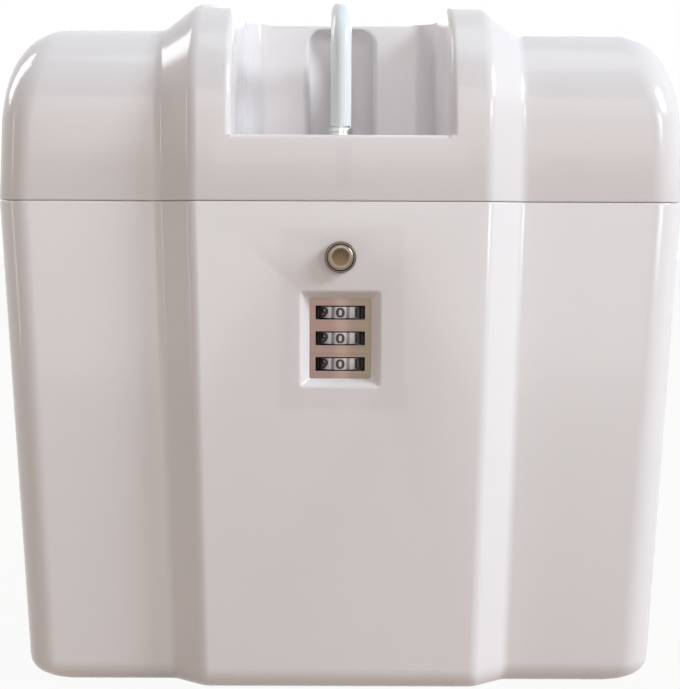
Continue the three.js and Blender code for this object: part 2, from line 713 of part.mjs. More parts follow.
function makeHingeLeaf(parity, direction) {
  const pitch = (HINGE_LENGTH + RUN) / HINGE_KNUCKLES;
  const nearEdge = HINGE_KNUCKLE_RADIUS + RUN;
  const slant = HINGE_KNUCKLE_RADIUS * Math.SQRT1_2;
  const edges = [BODY_HEIGHT + direction * nearEdge, BODY_HEIGHT + direction * HINGE_LEAF_HEIGHT].sort((a, b) => a - b);
  const plate = block([-HINGE_LENGTH / 2, HINGE_LENGTH / 2], [LEAF_FRONT_Y, LEAF_REAR_Y], edges);
  const knuckles = [];
  for (let index = parity; index < HINGE_KNUCKLES; index += 2) {
    const low = -HINGE_LENGTH / 2 + index * pitch;
    const high = low + pitch - RUN;
    const web = extrude([
      [LEAF_FRONT_Y, BODY_HEIGHT + direction * PARTING_GAP / 2],
      [HINGE_Y, BODY_HEIGHT + direction * PARTING_GAP / 2],
      [HINGE_Y + slant, BODY_HEIGHT + direction * slant],
      [LEAF_REAR_Y, BODY_HEIGHT + direction * (slant + HINGE_STANDOFF)],
      [LEAF_FRONT_Y, BODY_HEIGHT + direction * (slant + HINGE_STANDOFF)],
    ], 'x', low, high);
    knuckles.push(web.add(cylinder(HINGE_KNUCKLE_RADIUS, 'x', low, high, [0, HINGE_Y, BODY_HEIGHT])));
  }
  const pinBore = cylinder(
    HINGE_PIN_RADIUS + JOURNAL,
    'x',
    -HINGE_LENGTH,
    HINGE_LENGTH,
    [0, HINGE_Y, BODY_HEIGHT],
    SMALL_ROUND_STEPS,
  );
  return union([plate, ...knuckles]).subtract(pinBore).subtract(union(hingeScrewHoles(direction)));
}

function makeHingePin() {
  const end = HINGE_LENGTH / 2 + FIT;
  const head = HINGE_HEAD_LENGTH;
  return revolve([
    [0, -end - head],
    [HINGE_HEAD_RADIUS * 0.7, -end - head],
    [HINGE_HEAD_RADIUS, -end - head * 0.5],
    [HINGE_HEAD_RADIUS, -end],
    [HINGE_PIN_RADIUS, -end],
    [HINGE_PIN_RADIUS, end],
    [HINGE_HEAD_RADIUS, end],
    [HINGE_HEAD_RADIUS, end + head * 0.5],
    [HINGE_HEAD_RADIUS * 0.7, end + head],
    [0, end + head],
  ], 'x', [0, HINGE_Y, BODY_HEIGHT], SMALL_ROUND_STEPS);
}

addPiece('hinge_pin', makeHingePin(), brightSteel);
addPiece('hinge_leaf_tub', makeHingeLeaf(0, -1), shellPlastic);
addPiece('hinge_leaf_lid', makeHingeLeaf(1, 1), shellPlastic);
for (const [side, direction] of [['tub', -1], ['lid', 1]]) {
  HINGE_SCREWS.forEach((x, index) => {
    const seat = LEAF_REAR_Y + FIT;
    const z = BODY_HEIGHT + direction * HINGE_SCREW_HEIGHT;
    addPiece(`hinge_screw_${side}_${index + 1}`, screw(x, z, seat, seat - REAR_Y + WALL - FIT), brightSteel);
  });
}

// Handle

const HANDLE_TOP_Z = LID_TOP - HANDLE_BELOW_TOP - SLEEVE_RADIUS;
const SLEEVE_END_Z = FLOOR_Z + FIT + FERRULE_HEIGHT + FIT;
const WASHER_TOP = FLOOR_Z - WALL - FIT;
const ROD_NUT_TOP = WASHER_TOP - WASHER_THICKNESS - FIT;
const ROD_END_Z = ROD_NUT_TOP - ROD_NUT_HEIGHT - ROD_TAIL;

// Centre line of the handle from front leg to rear leg, as [y, z, tilt of the section]
function handleStations(endZ) {
  const bendZ = HANDLE_TOP_Z - HANDLE_BEND;
  const bendSteps = 8;
  const bend = (centreY, from, to) => Array.from({ length: bendSteps + 1 }, (_, step) => {
    const angle = from + ((to - from) * step) / bendSteps;
    return [centreY + HANDLE_BEND * Math.cos(angle), bendZ + HANDLE_BEND * Math.sin(angle), angle];
  });
  return [
    [FRONT_Y + HANDLE_FRONT_LEG, endZ, Math.PI],
    ...bend(FRONT_Y + HANDLE_FRONT_LEG + HANDLE_BEND, Math.PI, Math.PI / 2),
    ...bend(FRONT_Y + HANDLE_REAR_LEG - HANDLE_BEND, Math.PI / 2, 0),
    [FRONT_Y + HANDLE_REAR_LEG, endZ, 0],
  ];
}

function handleTube(radius, endZ) {
  return loft(handleStations(endZ).map(([y, z, tilt]) => (
    Array.from({ length: TUBE_STEPS }, (_, step) => {
      const angle = (2 * Math.PI * step) / TUBE_STEPS;
      const outward = radius * Math.cos(angle);
      return new THREE.Vector3(
        radius * Math.sin(angle),
        y + outward * Math.cos(tilt),
        z + outward * Math.sin(tilt),
      );
    })
  )));
}

addPiece('handle_rod', handleTube(ROD_RADIUS, ROD_END_Z), brightSteel);
addPiece(
  'handle_sleeve',
  handleTube(SLEEVE_RADIUS, SLEEVE_END_Z).subtract(handleTube(ROD_RADIUS + FIT, SLEEVE_END_Z - 1)),
  sleeveVinyl,
);
for (const [end, leg] of [['front', HANDLE_FRONT_LEG], ['rear', HANDLE_REAR_LEG]]) {
  const centre = [0, FRONT_Y + leg, 0];
  const bore = ROD_RADIUS + FIT;
  const ferrule = ring(
    FERRULE_RADIUS,
    bore,
    'z',
    FLOOR_Z + FIT,
    FLOOR_Z + FIT + FERRULE_HEIGHT,
    centre,
    SMALL_ROUND_STEPS,
  );
  const washer = ring(WASHER_RADIUS, bore, 'z', WASHER_TOP - WASHER_THICKNESS, WASHER_TOP, centre, SMALL_ROUND_STEPS);
  addPiece(`handle_ferrule_${end}`, ferrule, brightSteel);
  addPiece(`handle_washer_${end}`, washer, brightSteel);
  addPiece(
    `handle_nut_${end}`,
    hexNut(ROD_NUT_FLATS, bore, 'z', ROD_NUT_TOP - ROD_NUT_HEIGHT, ROD_NUT_TOP, centre),
    brightSteel,
  );
}

// Striker

const STRIKER_FRONT_Y = FRONT_Y + WALL + STRIKER_RIB_PROUD + FIT;
const STRIKER_REAR_Y = STRIKER_FRONT_Y + STRIKER_THICKNESS;

function makeStriker() {
  const plate = block(
    [-STRIKER_HALF_WIDTH, STRIKER_HALF_WIDTH],
    [STRIKER_FRONT_Y, STRIKER_REAR_Y],
    [STRIKER_BOTTOM, BODY_HEIGHT + STRIKER_TOP],
  );
  const window = block(
    [-HOOK_HALF_WIDTH - 2 * FIT, HOOK_HALF_WIDTH + 2 * FIT],
    [STRIKER_FRONT_Y - 1, STRIKER_REAR_Y + 1],
    [HOOK_BOTTOM - FIT, HOOK_TOP + 2 * FIT],
  );
  const holes = STRIKER_SCREW_HEIGHTS.map((height) => cylinder(
    SCREW_RADIUS + FIT,
    'y',
    STRIKER_FRONT_Y - 1,
    STRIKER_REAR_Y + 1,
    [0, 0, BODY_HEIGHT + height],
    SMALL_ROUND_STEPS,
  ));
  return plate.subtract(window).subtract(union(holes));
}

addPiece('striker_plate', makeStriker(), brightSteel);
STRIKER_SCREW_HEIGHTS.forEach((height, index) => {
  const seat = STRIKER_REAR_Y + FIT;
  const length = seat - (FRONT_Y + WALL + STRIKER_RIB_PROUD) + SCREW_BITE;
  addPiece(`striker_screw_${index + 1}`, screw(0, BODY_HEIGHT + height, seat, length), brightSteel);
});

// Lock housing and its fixed pieces

const plateHalfX = PLATE_WINDOW_WIDTH / 2 + PLATE_MARGIN;
const plateHalfZ = PLATE_WINDOW_HEIGHT / 2 + PLATE_MARGIN;
const DECK_HALF = Math.max(SLIDE_HALF_WIDTH + FIT, BUSH_NUT_FLATS / 2 / Math.cos(Math.PI / 6) + FIT);

function makePlate() {
  const plate = block(
    [-plateHalfX, plateHalfX],
    [LOCK_FRONT_Y, LOCK_FRONT_Y + PLATE_THICKNESS],
    [DIAL_CENTRE_HEIGHT - plateHalfZ, DIAL_CENTRE_HEIGHT + plateHalfZ],
  );
  const slots = dialHeights.map((z) => block(
    [-PLATE_SLOT_WIDTH / 2, PLATE_SLOT_WIDTH / 2],
    [LOCK_FRONT_Y - 1, LOCK_FRONT_Y + PLATE_THICKNESS + 1],
    [z - PLATE_SLOT_HEIGHT / 2, z + PLATE_SLOT_HEIGHT / 2],
  ));
  return plate.subtract(union(slots));
}

function makeHousing() {
  const outside = block(
    [-LOCK_HALF_WIDTH, LOCK_HALF_WIDTH],
    [LOCK_FRONT_Y, LOCK_REAR_Y],
    [LOCK_BOTTOM, LOCK_TOP],
  );
  const plateSeat = block(
    [-plateHalfX - FIT, plateHalfX + FIT],
    [LOCK_FRONT_Y - 1, LOCK_FRONT_Y + PLATE_THICKNESS + FIT],
    [DIAL_CENTRE_HEIGHT - plateHalfZ - FIT, DIAL_CENTRE_HEIGHT + plateHalfZ + FIT],
  );
  const dialChamber = block(
    [-CHAMBER_HALF, CHAMBER_HALF],
    [LOCK_FRONT_Y - 1, LOCK_REAR_Y + 1],
    [CHAMBER_BOTTOM, CHAMBER_TOP],
  );
  const fenceFront = FRONT_Y + FENCE_FRONT_DEPTH - FIT;
  const fenceChannel = block(
    [CHAMBER_HALF - 1, FENCE_OUTER_X + FIT],
    [fenceFront, FRONT_Y + FENCE_FRONT_DEPTH + FENCE_BAR_DEPTH + BUTTON_TRAVEL + RUN],
    [CHAMBER_BOTTOM, DECK_TOP + 1],
  );
  const deckFront = LOCK_FRONT_Y + LOCK_WALL;
  const deck = block([-DECK_HALF, DECK_HALF], [deckFront, LOCK_REAR_Y + 1], [DECK_TOP, LOCK_TOP - LOCK_WALL / 2]);
  const fencePassage = block(
    [DECK_HALF - 1, FENCE_OUTER_X + FIT],
    [fenceFront, SLIDE_Y + SLIDE_THICKNESS + BUTTON_TRAVEL + RUN],
    [DECK_TOP, BUTTON_HEIGHT - SLIDE_HALF_HEIGHT + FENCE_THICKNESS + RUN],
  );
  const armSlot = block(
    [-HOOK_HALF_WIDTH - 2 * FIT, HOOK_HALF_WIDTH + 2 * FIT],
    [SLIDE_Y - RUN, SLIDE_Y + SLIDE_THICKNESS + BUTTON_TRAVEL + RUN],
    [LOCK_TOP - LOCK_WALL, LOCK_TOP + 1],
  );
  const bushHole = cylinder(BUSH_RADIUS + FIT, 'y', LOCK_FRONT_Y - 1, deckFront + 1, [0, 0, BUTTON_HEIGHT]);
  const shaftHole = cylinder(
    SHAFT_RADIUS + FIT,
    'z',
    CHAMBER_BOTTOM - LOCK_WALL - FIT,
    DECK_TOP + 1,
    [0, SHAFT_Y, 0],
    SMALL_ROUND_STEPS,
  );
  const screwHoles = coverScrews.map(([x, z]) => cylinder(
    SCREW_RADIUS + FIT,
    'y',
    LOCK_FRONT_Y - 1,
    LOCK_REAR_Y + 1,
    [x, 0, z],
    SMALL_ROUND_STEPS,
  ));
  return outside.subtract(union([
    plateSeat, dialChamber, fenceChannel, deck, fencePassage, armSlot, bushHole, shaftHole, ...screwHoles,
  ]));
}

function makeCover() {
  const cover = block(
    [-LOCK_HALF_WIDTH, LOCK_HALF_WIDTH],
    [COVER_FRONT_Y, COVER_REAR_Y],
    [LOCK_BOTTOM, LOCK_TOP],
  );
  const holes = [...coverScrews, [0, LEVER_PIVOT_HEIGHT]].map(([x, z]) => cylinder(
    SCREW_RADIUS + FIT,
    'y',
    COVER_FRONT_Y - 1,
    COVER_REAR_Y + 1,
    [x, 0, z],
    SMALL_ROUND_STEPS,
  ));
  return cover.subtract(union(holes));
}

const LEVER_FRONT_Y = COVER_REAR_Y + FIT;
const LEVER_REAR_Y = LEVER_FRONT_Y + LEVER_THICKNESS;

addPiece('dial_window_plate', makePlate(), plateBronze);
addPiece('lock_housing', makeHousing(), lockPlastic);
addPiece('lock_cover', makeCover(), springSteel);
coverScrews.forEach(([x, z], index) => {
  const seat = COVER_REAR_Y + FIT;
  addPiece(`cover_screw_${index + 1}`, screw(x, z, seat, seat - LOCK_SEAT_Y + SCREW_BITE), brightSteel);
});
addPiece(
  'dial_shaft',
  cylinder(
    SHAFT_RADIUS,
    'z',
    CHAMBER_BOTTOM - LOCK_WALL,
    DECK_TOP - FIT,
    [0, SHAFT_Y, 0],
    SMALL_ROUND_STEPS,
  ),
  brightSteel,
);

function makeBush() {
  const front = FRONT_Y + BUSH_FACE_DEPTH - BUSH_REACH;
  const rear = LOCK_FRONT_Y + LOCK_WALL + FIT + BUSH_NUT_HEIGHT + FIT;
  const rim = 0.6;
  const body = revolve([
    [0, front],
    [BUSH_RADIUS - rim, front],
    [BUSH_RADIUS, front + rim],
    [BUSH_RADIUS, rear],
    [0, rear],
  ], 'y', [0, 0, BUTTON_HEIGHT]);
  return body.subtract(cylinder(BUSH_BORE, 'y', front - 1, rear + 1, [0, 0, BUTTON_HEIGHT]));
}

const NUT_FRONT_Y = LOCK_FRONT_Y + LOCK_WALL + FIT;
addPiece('button_bush', makeBush(), bronzeNickel);
addPiece(
  'button_nut',
  hexNut(
    BUSH_NUT_FLATS,
    BUSH_RADIUS + FIT,
    'y',
    NUT_FRONT_Y,
    NUT_FRONT_Y + BUSH_NUT_HEIGHT,
    [0, 0, BUTTON_HEIGHT],
  ),
  brightSteel,
);

// Number wheels and code discs

function makeWheel(z) {
  const step = (2 * Math.PI) / DIAL_DIGITS;
  const faceHalf = (step - DIAL_GROOVE_ANGLE) / 2;
  const outline = [];
  for (let digit = 0; digit < DIAL_DIGITS; digit += 1) {
    const middle = -Math.PI / 2 + digit * step;
    for (const offset of [-faceHalf, -faceHalf / 3, faceHalf / 3, faceHalf]) {
      outline.push([DIAL_RADIUS * Math.cos(middle + offset), DIAL_RADIUS * Math.sin(middle + offset)]);
    }
    const groove = DIAL_RADIUS - DIAL_GROOVE_DEPTH;
    outline.push([groove * Math.cos(middle + step / 2), groove * Math.sin(middle + step / 2)]);
  }
  const placed = outline.map(([x, y]) => [x, SHAFT_Y + y]);
  const centre = [0, SHAFT_Y, 0];
  const low = z - DIAL_HEIGHT / 2;
  return extrude(placed, 'z', low, z + DIAL_HEIGHT / 2)
    .add(cylinder(DIAL_HUB_RADIUS, 'z', low - DIAL_HUB_HEIGHT, low + 1, centre, SMALL_ROUND_STEPS))
    .subtract(cylinder(
      SHAFT_RADIUS + JOURNAL,
      'z',
      low - DIAL_HUB_HEIGHT - 1,
      z + DIAL_HEIGHT,
      centre,
      SMALL_ROUND_STEPS,
    ));
}

function makeCodeDisc(z) {
  const top = z - DIAL_HEIGHT / 2 - FIT;
  const low = top - CODE_DISC_THICKNESS;
  const gateX = CODE_DISC_RADIUS - CODE_GATE_DEPTH;
  const gate = block(
    [gateX, CODE_DISC_RADIUS + 1],
    [SHAFT_Y - CODE_DISC_RADIUS, SHAFT_Y + CODE_GATE_WIDTH / 2],
    [low - 1, top + 1],
  );
  return ring(CODE_DISC_RADIUS, DIAL_HUB_RADIUS + FIT, 'z', low, top, [0, SHAFT_Y, 0]).subtract(gate);
}

dialHeights.forEach((z, index) => {
  addPiece(`dial_wheel_${index + 1}`, makeWheel(z), wheelMetal);
  addPiece(`code_disc_${index + 1}`, makeCodeDisc(z), brightSteel);
});

// Leaf-spring comb: one finger rests against each wheel, between two numbers at the rear

function makeComb() {
  const baseRear = LOCK_REAR_Y - FIT;
  const tipY = SHAFT_Y + DIAL_RADIUS + FIT;
  const baseLeft = -CHAMBER_HALF + FIT;
  const baseRight = baseLeft + COMB_BASE_WIDTH;
  const base = block(
    [baseLeft, baseRight],
    [baseRear - COMB_THICKNESS, baseRear],
    [dialHeights[DIALS - 1] - COMB_FINGER_HEIGHT, dialHeights[0] + COMB_FINGER_HEIGHT / 2],
  );
  const spine = [[baseRight - 0.5, baseRear - COMB_THICKNESS], [0, tipY], [2.4, tipY + 1.6]];
  const back = spine.map(([x, y]) => [x, y + COMB_THICKNESS]).reverse();
  const fingers = dialHeights.map((z) => extrude(
    [...spine, ...back],
    'z',
    z - COMB_FINGER_HEIGHT / 2,
    z + COMB_FINGER_HEIGHT / 2,
  ));
  return union([base, ...fingers]);
}

addPiece('detent_comb', makeComb(), springSteel);

// Push button, latch slide and return spring

const CLIP_FRONT_Y = SLIDE_Y + SLIDE_THICKNESS + FIT;
const SPRING_FRONT_Y = CLIP_FRONT_Y + CLIP_THICKNESS + FIT;
const SPRING_REAR_Y = COVER_FRONT_Y - FIT;

function makeButton() {
  const front = FRONT_Y + BUTTON_FRONT;
  const shoulder = SLIDE_Y - FIT - 1;
  return revolve([
    [0, front],
    [BUTTON_RADIUS - BUTTON_BEVEL, front],
    [BUTTON_RADIUS, front + BUTTON_BEVEL],
    [BUTTON_RADIUS, shoulder],
    [BUTTON_RADIUS - 1, SLIDE_Y - FIT],
    [STEM_RADIUS, SLIDE_Y - FIT],
    [STEM_RADIUS, SPRING_FRONT_Y + 1.5],
    [0, SPRING_FRONT_Y + 1.5],
  ], 'y', [0, 0, BUTTON_HEIGHT]);
}

function makeSlide() {
  const rear = SLIDE_Y + SLIDE_THICKNESS;
  const plate = block(
    [-SLIDE_HALF_WIDTH, SLIDE_HALF_WIDTH],
    [SLIDE_Y, rear],
    [BUTTON_HEIGHT - SLIDE_HALF_HEIGHT, BUTTON_HEIGHT + SLIDE_HALF_HEIGHT],
  );
  const hookFront = STRIKER_FRONT_Y + FIT;
  const arm = extrude([
    [SLIDE_Y, BUTTON_HEIGHT],
    [rear, BUTTON_HEIGHT],
    [rear, HOOK_TOP],
    [hookFront + HOOK_HEIGHT, HOOK_TOP],
    [hookFront, HOOK_BOTTOM + HOOK_HEIGHT / 3],
    [hookFront, HOOK_BOTTOM],
    [SLIDE_Y, HOOK_BOTTOM],
  ], 'x', -HOOK_HALF_WIDTH, HOOK_HALF_WIDTH);
  return plate.add(arm).subtract(cylinder(
    STEM_RADIUS + FIT,
    'y',
    SLIDE_Y - 1,
    rear + 1,
    [0, 0, BUTTON_HEIGHT],
    SMALL_ROUND_STEPS,
  ));
}

function makeFence() {
  const rear = SLIDE_Y + SLIDE_THICKNESS;
  const barFront = FRONT_Y + FENCE_FRONT_DEPTH;
  const barLow = BUTTON_HEIGHT - SLIDE_HALF_HEIGHT;
  const runner = block([FENCE_INNER_X, FENCE_OUTER_X], [barFront, rear], [barLow, barLow + FENCE_THICKNESS]);
  const discTops = dialHeights.map((z) => z - DIAL_HEIGHT / 2 - FIT);
  const bar = block(
    [FENCE_INNER_X, FENCE_OUTER_X],
    [barFront, barFront + FENCE_BAR_DEPTH],
    [discTops[DIALS - 1] - CODE_DISC_THICKNESS, barLow + FENCE_THICKNESS],
  );
  const teeth = discTops.map((top) => block(
    [CODE_DISC_RADIUS + FENCE_DISC_GAP, FENCE_INNER_X + 0.5],
    [barFront, barFront + FENCE_TOOTH_DEPTH],
    [top - FENCE_TOOTH_HEIGHT, top],
  ));
  return union([runner, bar, ...teeth]);
}

class CoilCurve extends THREE.Curve {
  getPoint(t, target = new THREE.Vector3()) {
    const angle = 2 * Math.PI * SPRING_TURNS * t;
    const low = SPRING_FRONT_Y + SPRING_WIRE;
    const high = SPRING_REAR_Y - SPRING_WIRE;
    return target.set(SPRING_RADIUS * Math.cos(angle), low + (high - low) * t, SPRING_RADIUS * Math.sin(angle));
  }
}

function makeSpring() {
  const section = new THREE.Shape(Array.from({ length: 5 }, (_, corner) => {
    const angle = (2 * Math.PI * corner) / 5;
    return new THREE.Vector2(SPRING_WIRE * Math.cos(angle), SPRING_WIRE * Math.sin(angle));
  }));
  const geometry = new THREE.ExtrudeGeometry(section, {
    extrudePath: new CoilCurve(),
    steps: SPRING_TURNS * 8,
    bevelEnabled: false,
  });
  geometry.translate(0, 0, BUTTON_HEIGHT);
  return solidFromGeometry(geometry);
}

addPiece('push_button', makeButton(), bronzeNickel);
addPiece('latch_slide', makeSlide(), springSteel);
addPiece('fence_comb', makeFence(), brightSteel);
addPiece(
  'stem_clip',
  ring(
    CLIP_RADIUS,
    STEM_RADIUS + FIT,
    'y',
    CLIP_FRONT_Y,
    CLIP_FRONT_Y + CLIP_THICKNESS,
    [0, 0, BUTTON_HEIGHT],
    SMALL_ROUND_STEPS,
  ),
  springSteel,
);
addPiece('button_spring', makeSpring(), springSteel);

// Code lever on the back of the lock, with the rivet that it turns on

function makeLever() {
  const half = LEVER_WIDTH / 2;
  const shape = new THREE.Shape();
  shape.absarc(LEVER_PIVOT_HEIGHT, 0, half, Math.PI / 2, -Math.PI / 2, true);
  shape.lineTo(LEVER_PIVOT_HEIGHT - LEVER_LENGTH + half, -half);
  shape.absarc(LEVER_PIVOT_HEIGHT - LEVER_LENGTH + half, 0, half, -Math.PI / 2, -3 * Math.PI / 2, true);
  shape.closePath();
  const arm = extrude(shape, 'y', LEVER_FRONT_Y, LEVER_REAR_Y, 8);
  const tabZ = LEVER_PIVOT_HEIGHT - LEVER_LENGTH + half;
  const tab = block([-1, 1], [LEVER_FRONT_Y + LEVER_THICKNESS / 2, LEVER_REAR_Y + LEVER_TAB], [tabZ - 1, tabZ + 4]);
  const hole = cylinder(
    SCREW_RADIUS + JOURNAL,
    'y',
    LEVER_FRONT_Y - 1,
    LEVER_REAR_Y + 1,
    [0, 0, LEVER_PIVOT_HEIGHT],
    SMALL_ROUND_STEPS,
  );
  return arm.add(tab).subtract(hole);
}

addPiece('code_set_lever', makeLever(), brightSteel);
addPiece(
  'lever_rivet',
  screw(0, LEVER_PIVOT_HEIGHT, LEVER_REAR_Y + FIT, LEVER_THICKNESS + COVER_THICKNESS + 2 * FIT),
  brightSteel,
);

export default part;
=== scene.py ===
import json
import math

import bmesh
import bpy
import numpy as np
from mathutils import Matrix, Vector


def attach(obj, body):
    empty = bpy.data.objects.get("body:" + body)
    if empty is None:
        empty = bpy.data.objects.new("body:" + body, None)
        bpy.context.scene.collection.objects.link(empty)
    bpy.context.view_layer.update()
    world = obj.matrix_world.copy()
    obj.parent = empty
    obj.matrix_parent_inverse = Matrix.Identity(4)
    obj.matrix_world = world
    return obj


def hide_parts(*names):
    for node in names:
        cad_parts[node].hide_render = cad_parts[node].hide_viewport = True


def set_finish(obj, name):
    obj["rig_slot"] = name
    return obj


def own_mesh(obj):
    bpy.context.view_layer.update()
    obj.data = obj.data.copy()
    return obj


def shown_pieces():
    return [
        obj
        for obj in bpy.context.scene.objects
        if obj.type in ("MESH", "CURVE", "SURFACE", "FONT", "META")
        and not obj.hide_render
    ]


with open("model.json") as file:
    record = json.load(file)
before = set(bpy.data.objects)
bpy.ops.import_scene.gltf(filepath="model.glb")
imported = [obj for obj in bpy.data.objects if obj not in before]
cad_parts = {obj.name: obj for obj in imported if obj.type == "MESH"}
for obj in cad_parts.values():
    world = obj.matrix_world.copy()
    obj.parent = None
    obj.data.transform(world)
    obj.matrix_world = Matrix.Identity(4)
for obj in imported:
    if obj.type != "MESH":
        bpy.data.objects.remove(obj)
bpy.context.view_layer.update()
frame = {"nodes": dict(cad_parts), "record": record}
nodes = frame["nodes"]

# Sizes are in millimetres. The upright corners, the belt's foot, the parting gap, the hole round
# the bush, the button's face, the wheels' faces and grooves, the numerals, the ferrules' groove and
# all softened edges follow the photograph. The other sizes are those of the solids.
MM = 0.001

WIDTH = 214.0
SHELL_DEPTH = 155.4
BODY_HEIGHT = 153.0
LID_PANEL_TOP = 208.0
WALL = 3.0
FIT = 0.3
PARTING_GAP = 0.2
PARTING_EDGE = 0.45
SIDE_DRAFT = math.radians(2.85)
FRONT_DRAFT = math.radians(1.8)
LID_DRAFT = math.radians(2.2)
CORNER_RADIUS = 11.0
LID_SIDE_RADIUS = 18.0
LID_FRONT_RADIUS = 30.0
BOTTOM_RADIUS = 7.5
BELT_PROUD = 8.5
BELT_HALF = 45.4
BELT_SLOPE_WIDTH = 10.9
BELT_CREST_RADIUS = 6.0
BELT_FOOT_RADIUS = 5.0
LIP_HEIGHT = 3.0
LIP_THICKNESS = 1.25

POCKET_HALF = 33.3
POCKET_FLOOR = 20.0
POCKET_LENGTH = 90.0
POCKET_CORNER = 7.5
POCKET_EDGE = 2.2
SILL_EDGE = 1.5
NICHE_RADIUS = 11.4
NICHE_CROWN = 5.0
NICHE_ROOF = 1.6
NICHE_EDGE = 2.3
NICHE_TOP_EDGE = 0.7

HANDLE_FRONT_LEG = 15.0
HANDLE_REAR_LEG = 85.0
HANDLE_BEND = 14.0
HANDLE_BELOW_TOP = 0.3
HANDLE_END_BELOW_FLOOR = 10.5
ROD_RADIUS = 2.35
ROD_BORE = ROD_RADIUS + FIT
ROD_EDGE = 0.5
SLEEVE_RADIUS = 3.2
SLEEVE_EDGE = 0.35
FERRULE_RADIUS = 3.6
FERRULE_HEIGHT = 2.6
FERRULE_CHAMFER = 0.2
FERRULE_EDGE = 0.6
# (height, depth) of the groove round each ferrule
FERRULE_GROOVE = ((0.9, 0.0), (1.05, 0.18), (1.25, 0.18), (1.4, 0.0))

DIALS_BELOW_PARTING = 42.0
DIAL_PITCH = 7.93
DIAL_RADIUS = 8.3
DIAL_HALF_HEIGHT = 1.85
DIAL_EDGE = 0.22
DIAL_HUB_RADIUS = 3.0
DIAL_HUB_HEIGHT = 3.7
DIAL_BORE = 1.58
SHAFT_DEPTH = 12.4
DIGITS = 10
FACE_HALF_ANGLE = math.radians(13.0)
FACE_CROWN = 0.14
GROOVE_ANGLE = math.radians(10.0)
GROOVE_DEPTH = 0.3
NUMERAL_SIZE = 4.4
NUMERAL_WEIGHT = 0.13
NUMERAL_THICKNESS = 0.16
NUMERAL_INSET = 0.1
NUMERAL_STRETCH = (1.25, 0.92)
NUMERAL_CUTS = 6
NUMERAL_CUT_PITCH = 0.27
# A numeral drops this far at this distance from its middle, as the crowned face does
NUMERAL_DROP = 0.12
NUMERAL_DROP_AT = 1.66

LOCK_SEAT_DEPTH = 4.3
LOCK_DEPTH = 22.0
LOCK_WALL = 2.3
LOCK_PAD_HALF = 18.2
LOCK_PAD_THICKNESS = 1.5
LOCK_PAD_BELOW_DIALS = 21.7
LOCK_PAD_ABOVE_DIALS = 33.5
COVER_SCREWS_X = (-13.5, 13.5)
COVER_SCREWS_ABOVE_DIALS = (-17.0, 30.2)
PILOT_RADIUS = 1.55
PILOT_DEPTH = 2.0

# Half sizes (x, z) of the recess round the wheels: at its throat, and at its mouth the end of the
# slope, the corner that is rounded off and the start of the face
RECESS_THROAT = (9.45, 12.35)
RECESS_MOUTH = ((11.7, 14.2), (12.25, 14.65), (12.85, 15.25))
RECESS_THROAT_CORNER = 0.5
RECESS_SLOPE_CORNER = 0.8
RECESS_MOUTH_CORNER = 1.5
RECESS_MOUTH_SHARE = 0.2
RECESS_STEPS = 6

BUTTON_ABOVE_DIALS = 25.0
BUTTON_RADIUS = 3.9
BUTTON_ABOVE_BUSH = 0.3
# (radius, depth) of the button's dished face and of the foot of its rim
BUTTON_DISH = ((0.0, 0.2), (1.4, 0.16), (2.5, 0.07), (2.95, 0.0))
BUTTON_RIM_FOOT = ((3.895, 0.38), (3.9, 0.45))
BUTTON_RIM_START = 3.02
BUTTON_RIM_RADIUS = 1.3
BUTTON_RIM_ANGLE = math.radians(40)
BUTTON_BEVEL = 1.0
BUSH_RADIUS = 4.7
BUSH_BORE = 4.2
BUSH_EDGE = 0.2
BUSH_REACH = 2.4
BUSH_NUT_HEIGHT = 2.0
BUSH_HOLE_RADIUS = 4.8
BUSH_HOLE_START_Y = -90
STEM_RADIUS = 1.5
STEM_TAIL = 1.5
STEM_CHAMFER = 0.2
SLIDE_DEPTH = 14.5
SLIDE_THICKNESS = 2.0
CLIP_THICKNESS = 0.8
SPRING_WIRE = 0.35
SPRING_RADIUS = 3.2
SPRING_TURNS = 6
SPRING_STEPS = 24
SPRING_CORNERS = 10

HINGE_SCREWS_X = (-30.0, 0.0, 30.0)
HINGE_SCREWS_FROM_PARTING = 11.5
STRIKER_RIB_HALF = 2.45
STRIKER_RIB_PROUD = 0.8
STRIKER_SCREW_HEIGHTS = (6, 12)

# The front face of the belt at the parting line is FRONT_Y, and heights are above the surface that
# the box stands on
HALF_WIDTH = WIDTH / 2
FRONT_Y = -81.417
REAR_Y = FRONT_Y + SHELL_DEPTH
LID_TOP = LID_PANEL_TOP + BELT_PROUD
FLOOR_Z = BODY_HEIGHT + POCKET_FLOOR
POCKET_REAR_Y = FRONT_Y + POCKET_LENGTH
LOCK_SEAT_Y = FRONT_Y + LOCK_SEAT_DEPTH
SHAFT_Y = FRONT_Y + SHAFT_DEPTH
SLIDE_Y = FRONT_Y + SLIDE_DEPTH
STRIKER_SEAT_Y = FRONT_Y + WALL + STRIKER_RIB_PROUD
DIALS_Z = BODY_HEIGHT - DIALS_BELOW_PARTING
BUTTON_Z = DIALS_Z + BUTTON_ABOVE_DIALS
BELT_ANGLE = math.atan2(BELT_PROUD, BELT_SLOPE_WIDTH)
BELT_FOOT = BELT_HALF + BELT_SLOPE_WIDTH

CREST_STEPS = 10
FOOT_STEPS = 10
CORNER_STEPS = 16
BOTTOM_STEPS = 10
ARC_STEPS = 24
EDGE_STEPS = 8
SMALL_EDGE_STEPS = 3


def quarter(steps):
    """(sine, cosine) at equal steps over a quarter turn."""
    angles = [math.pi / 2 * step / steps for step in range(steps + 1)]
    return [(math.sin(angle), math.cos(angle)) for angle in angles]


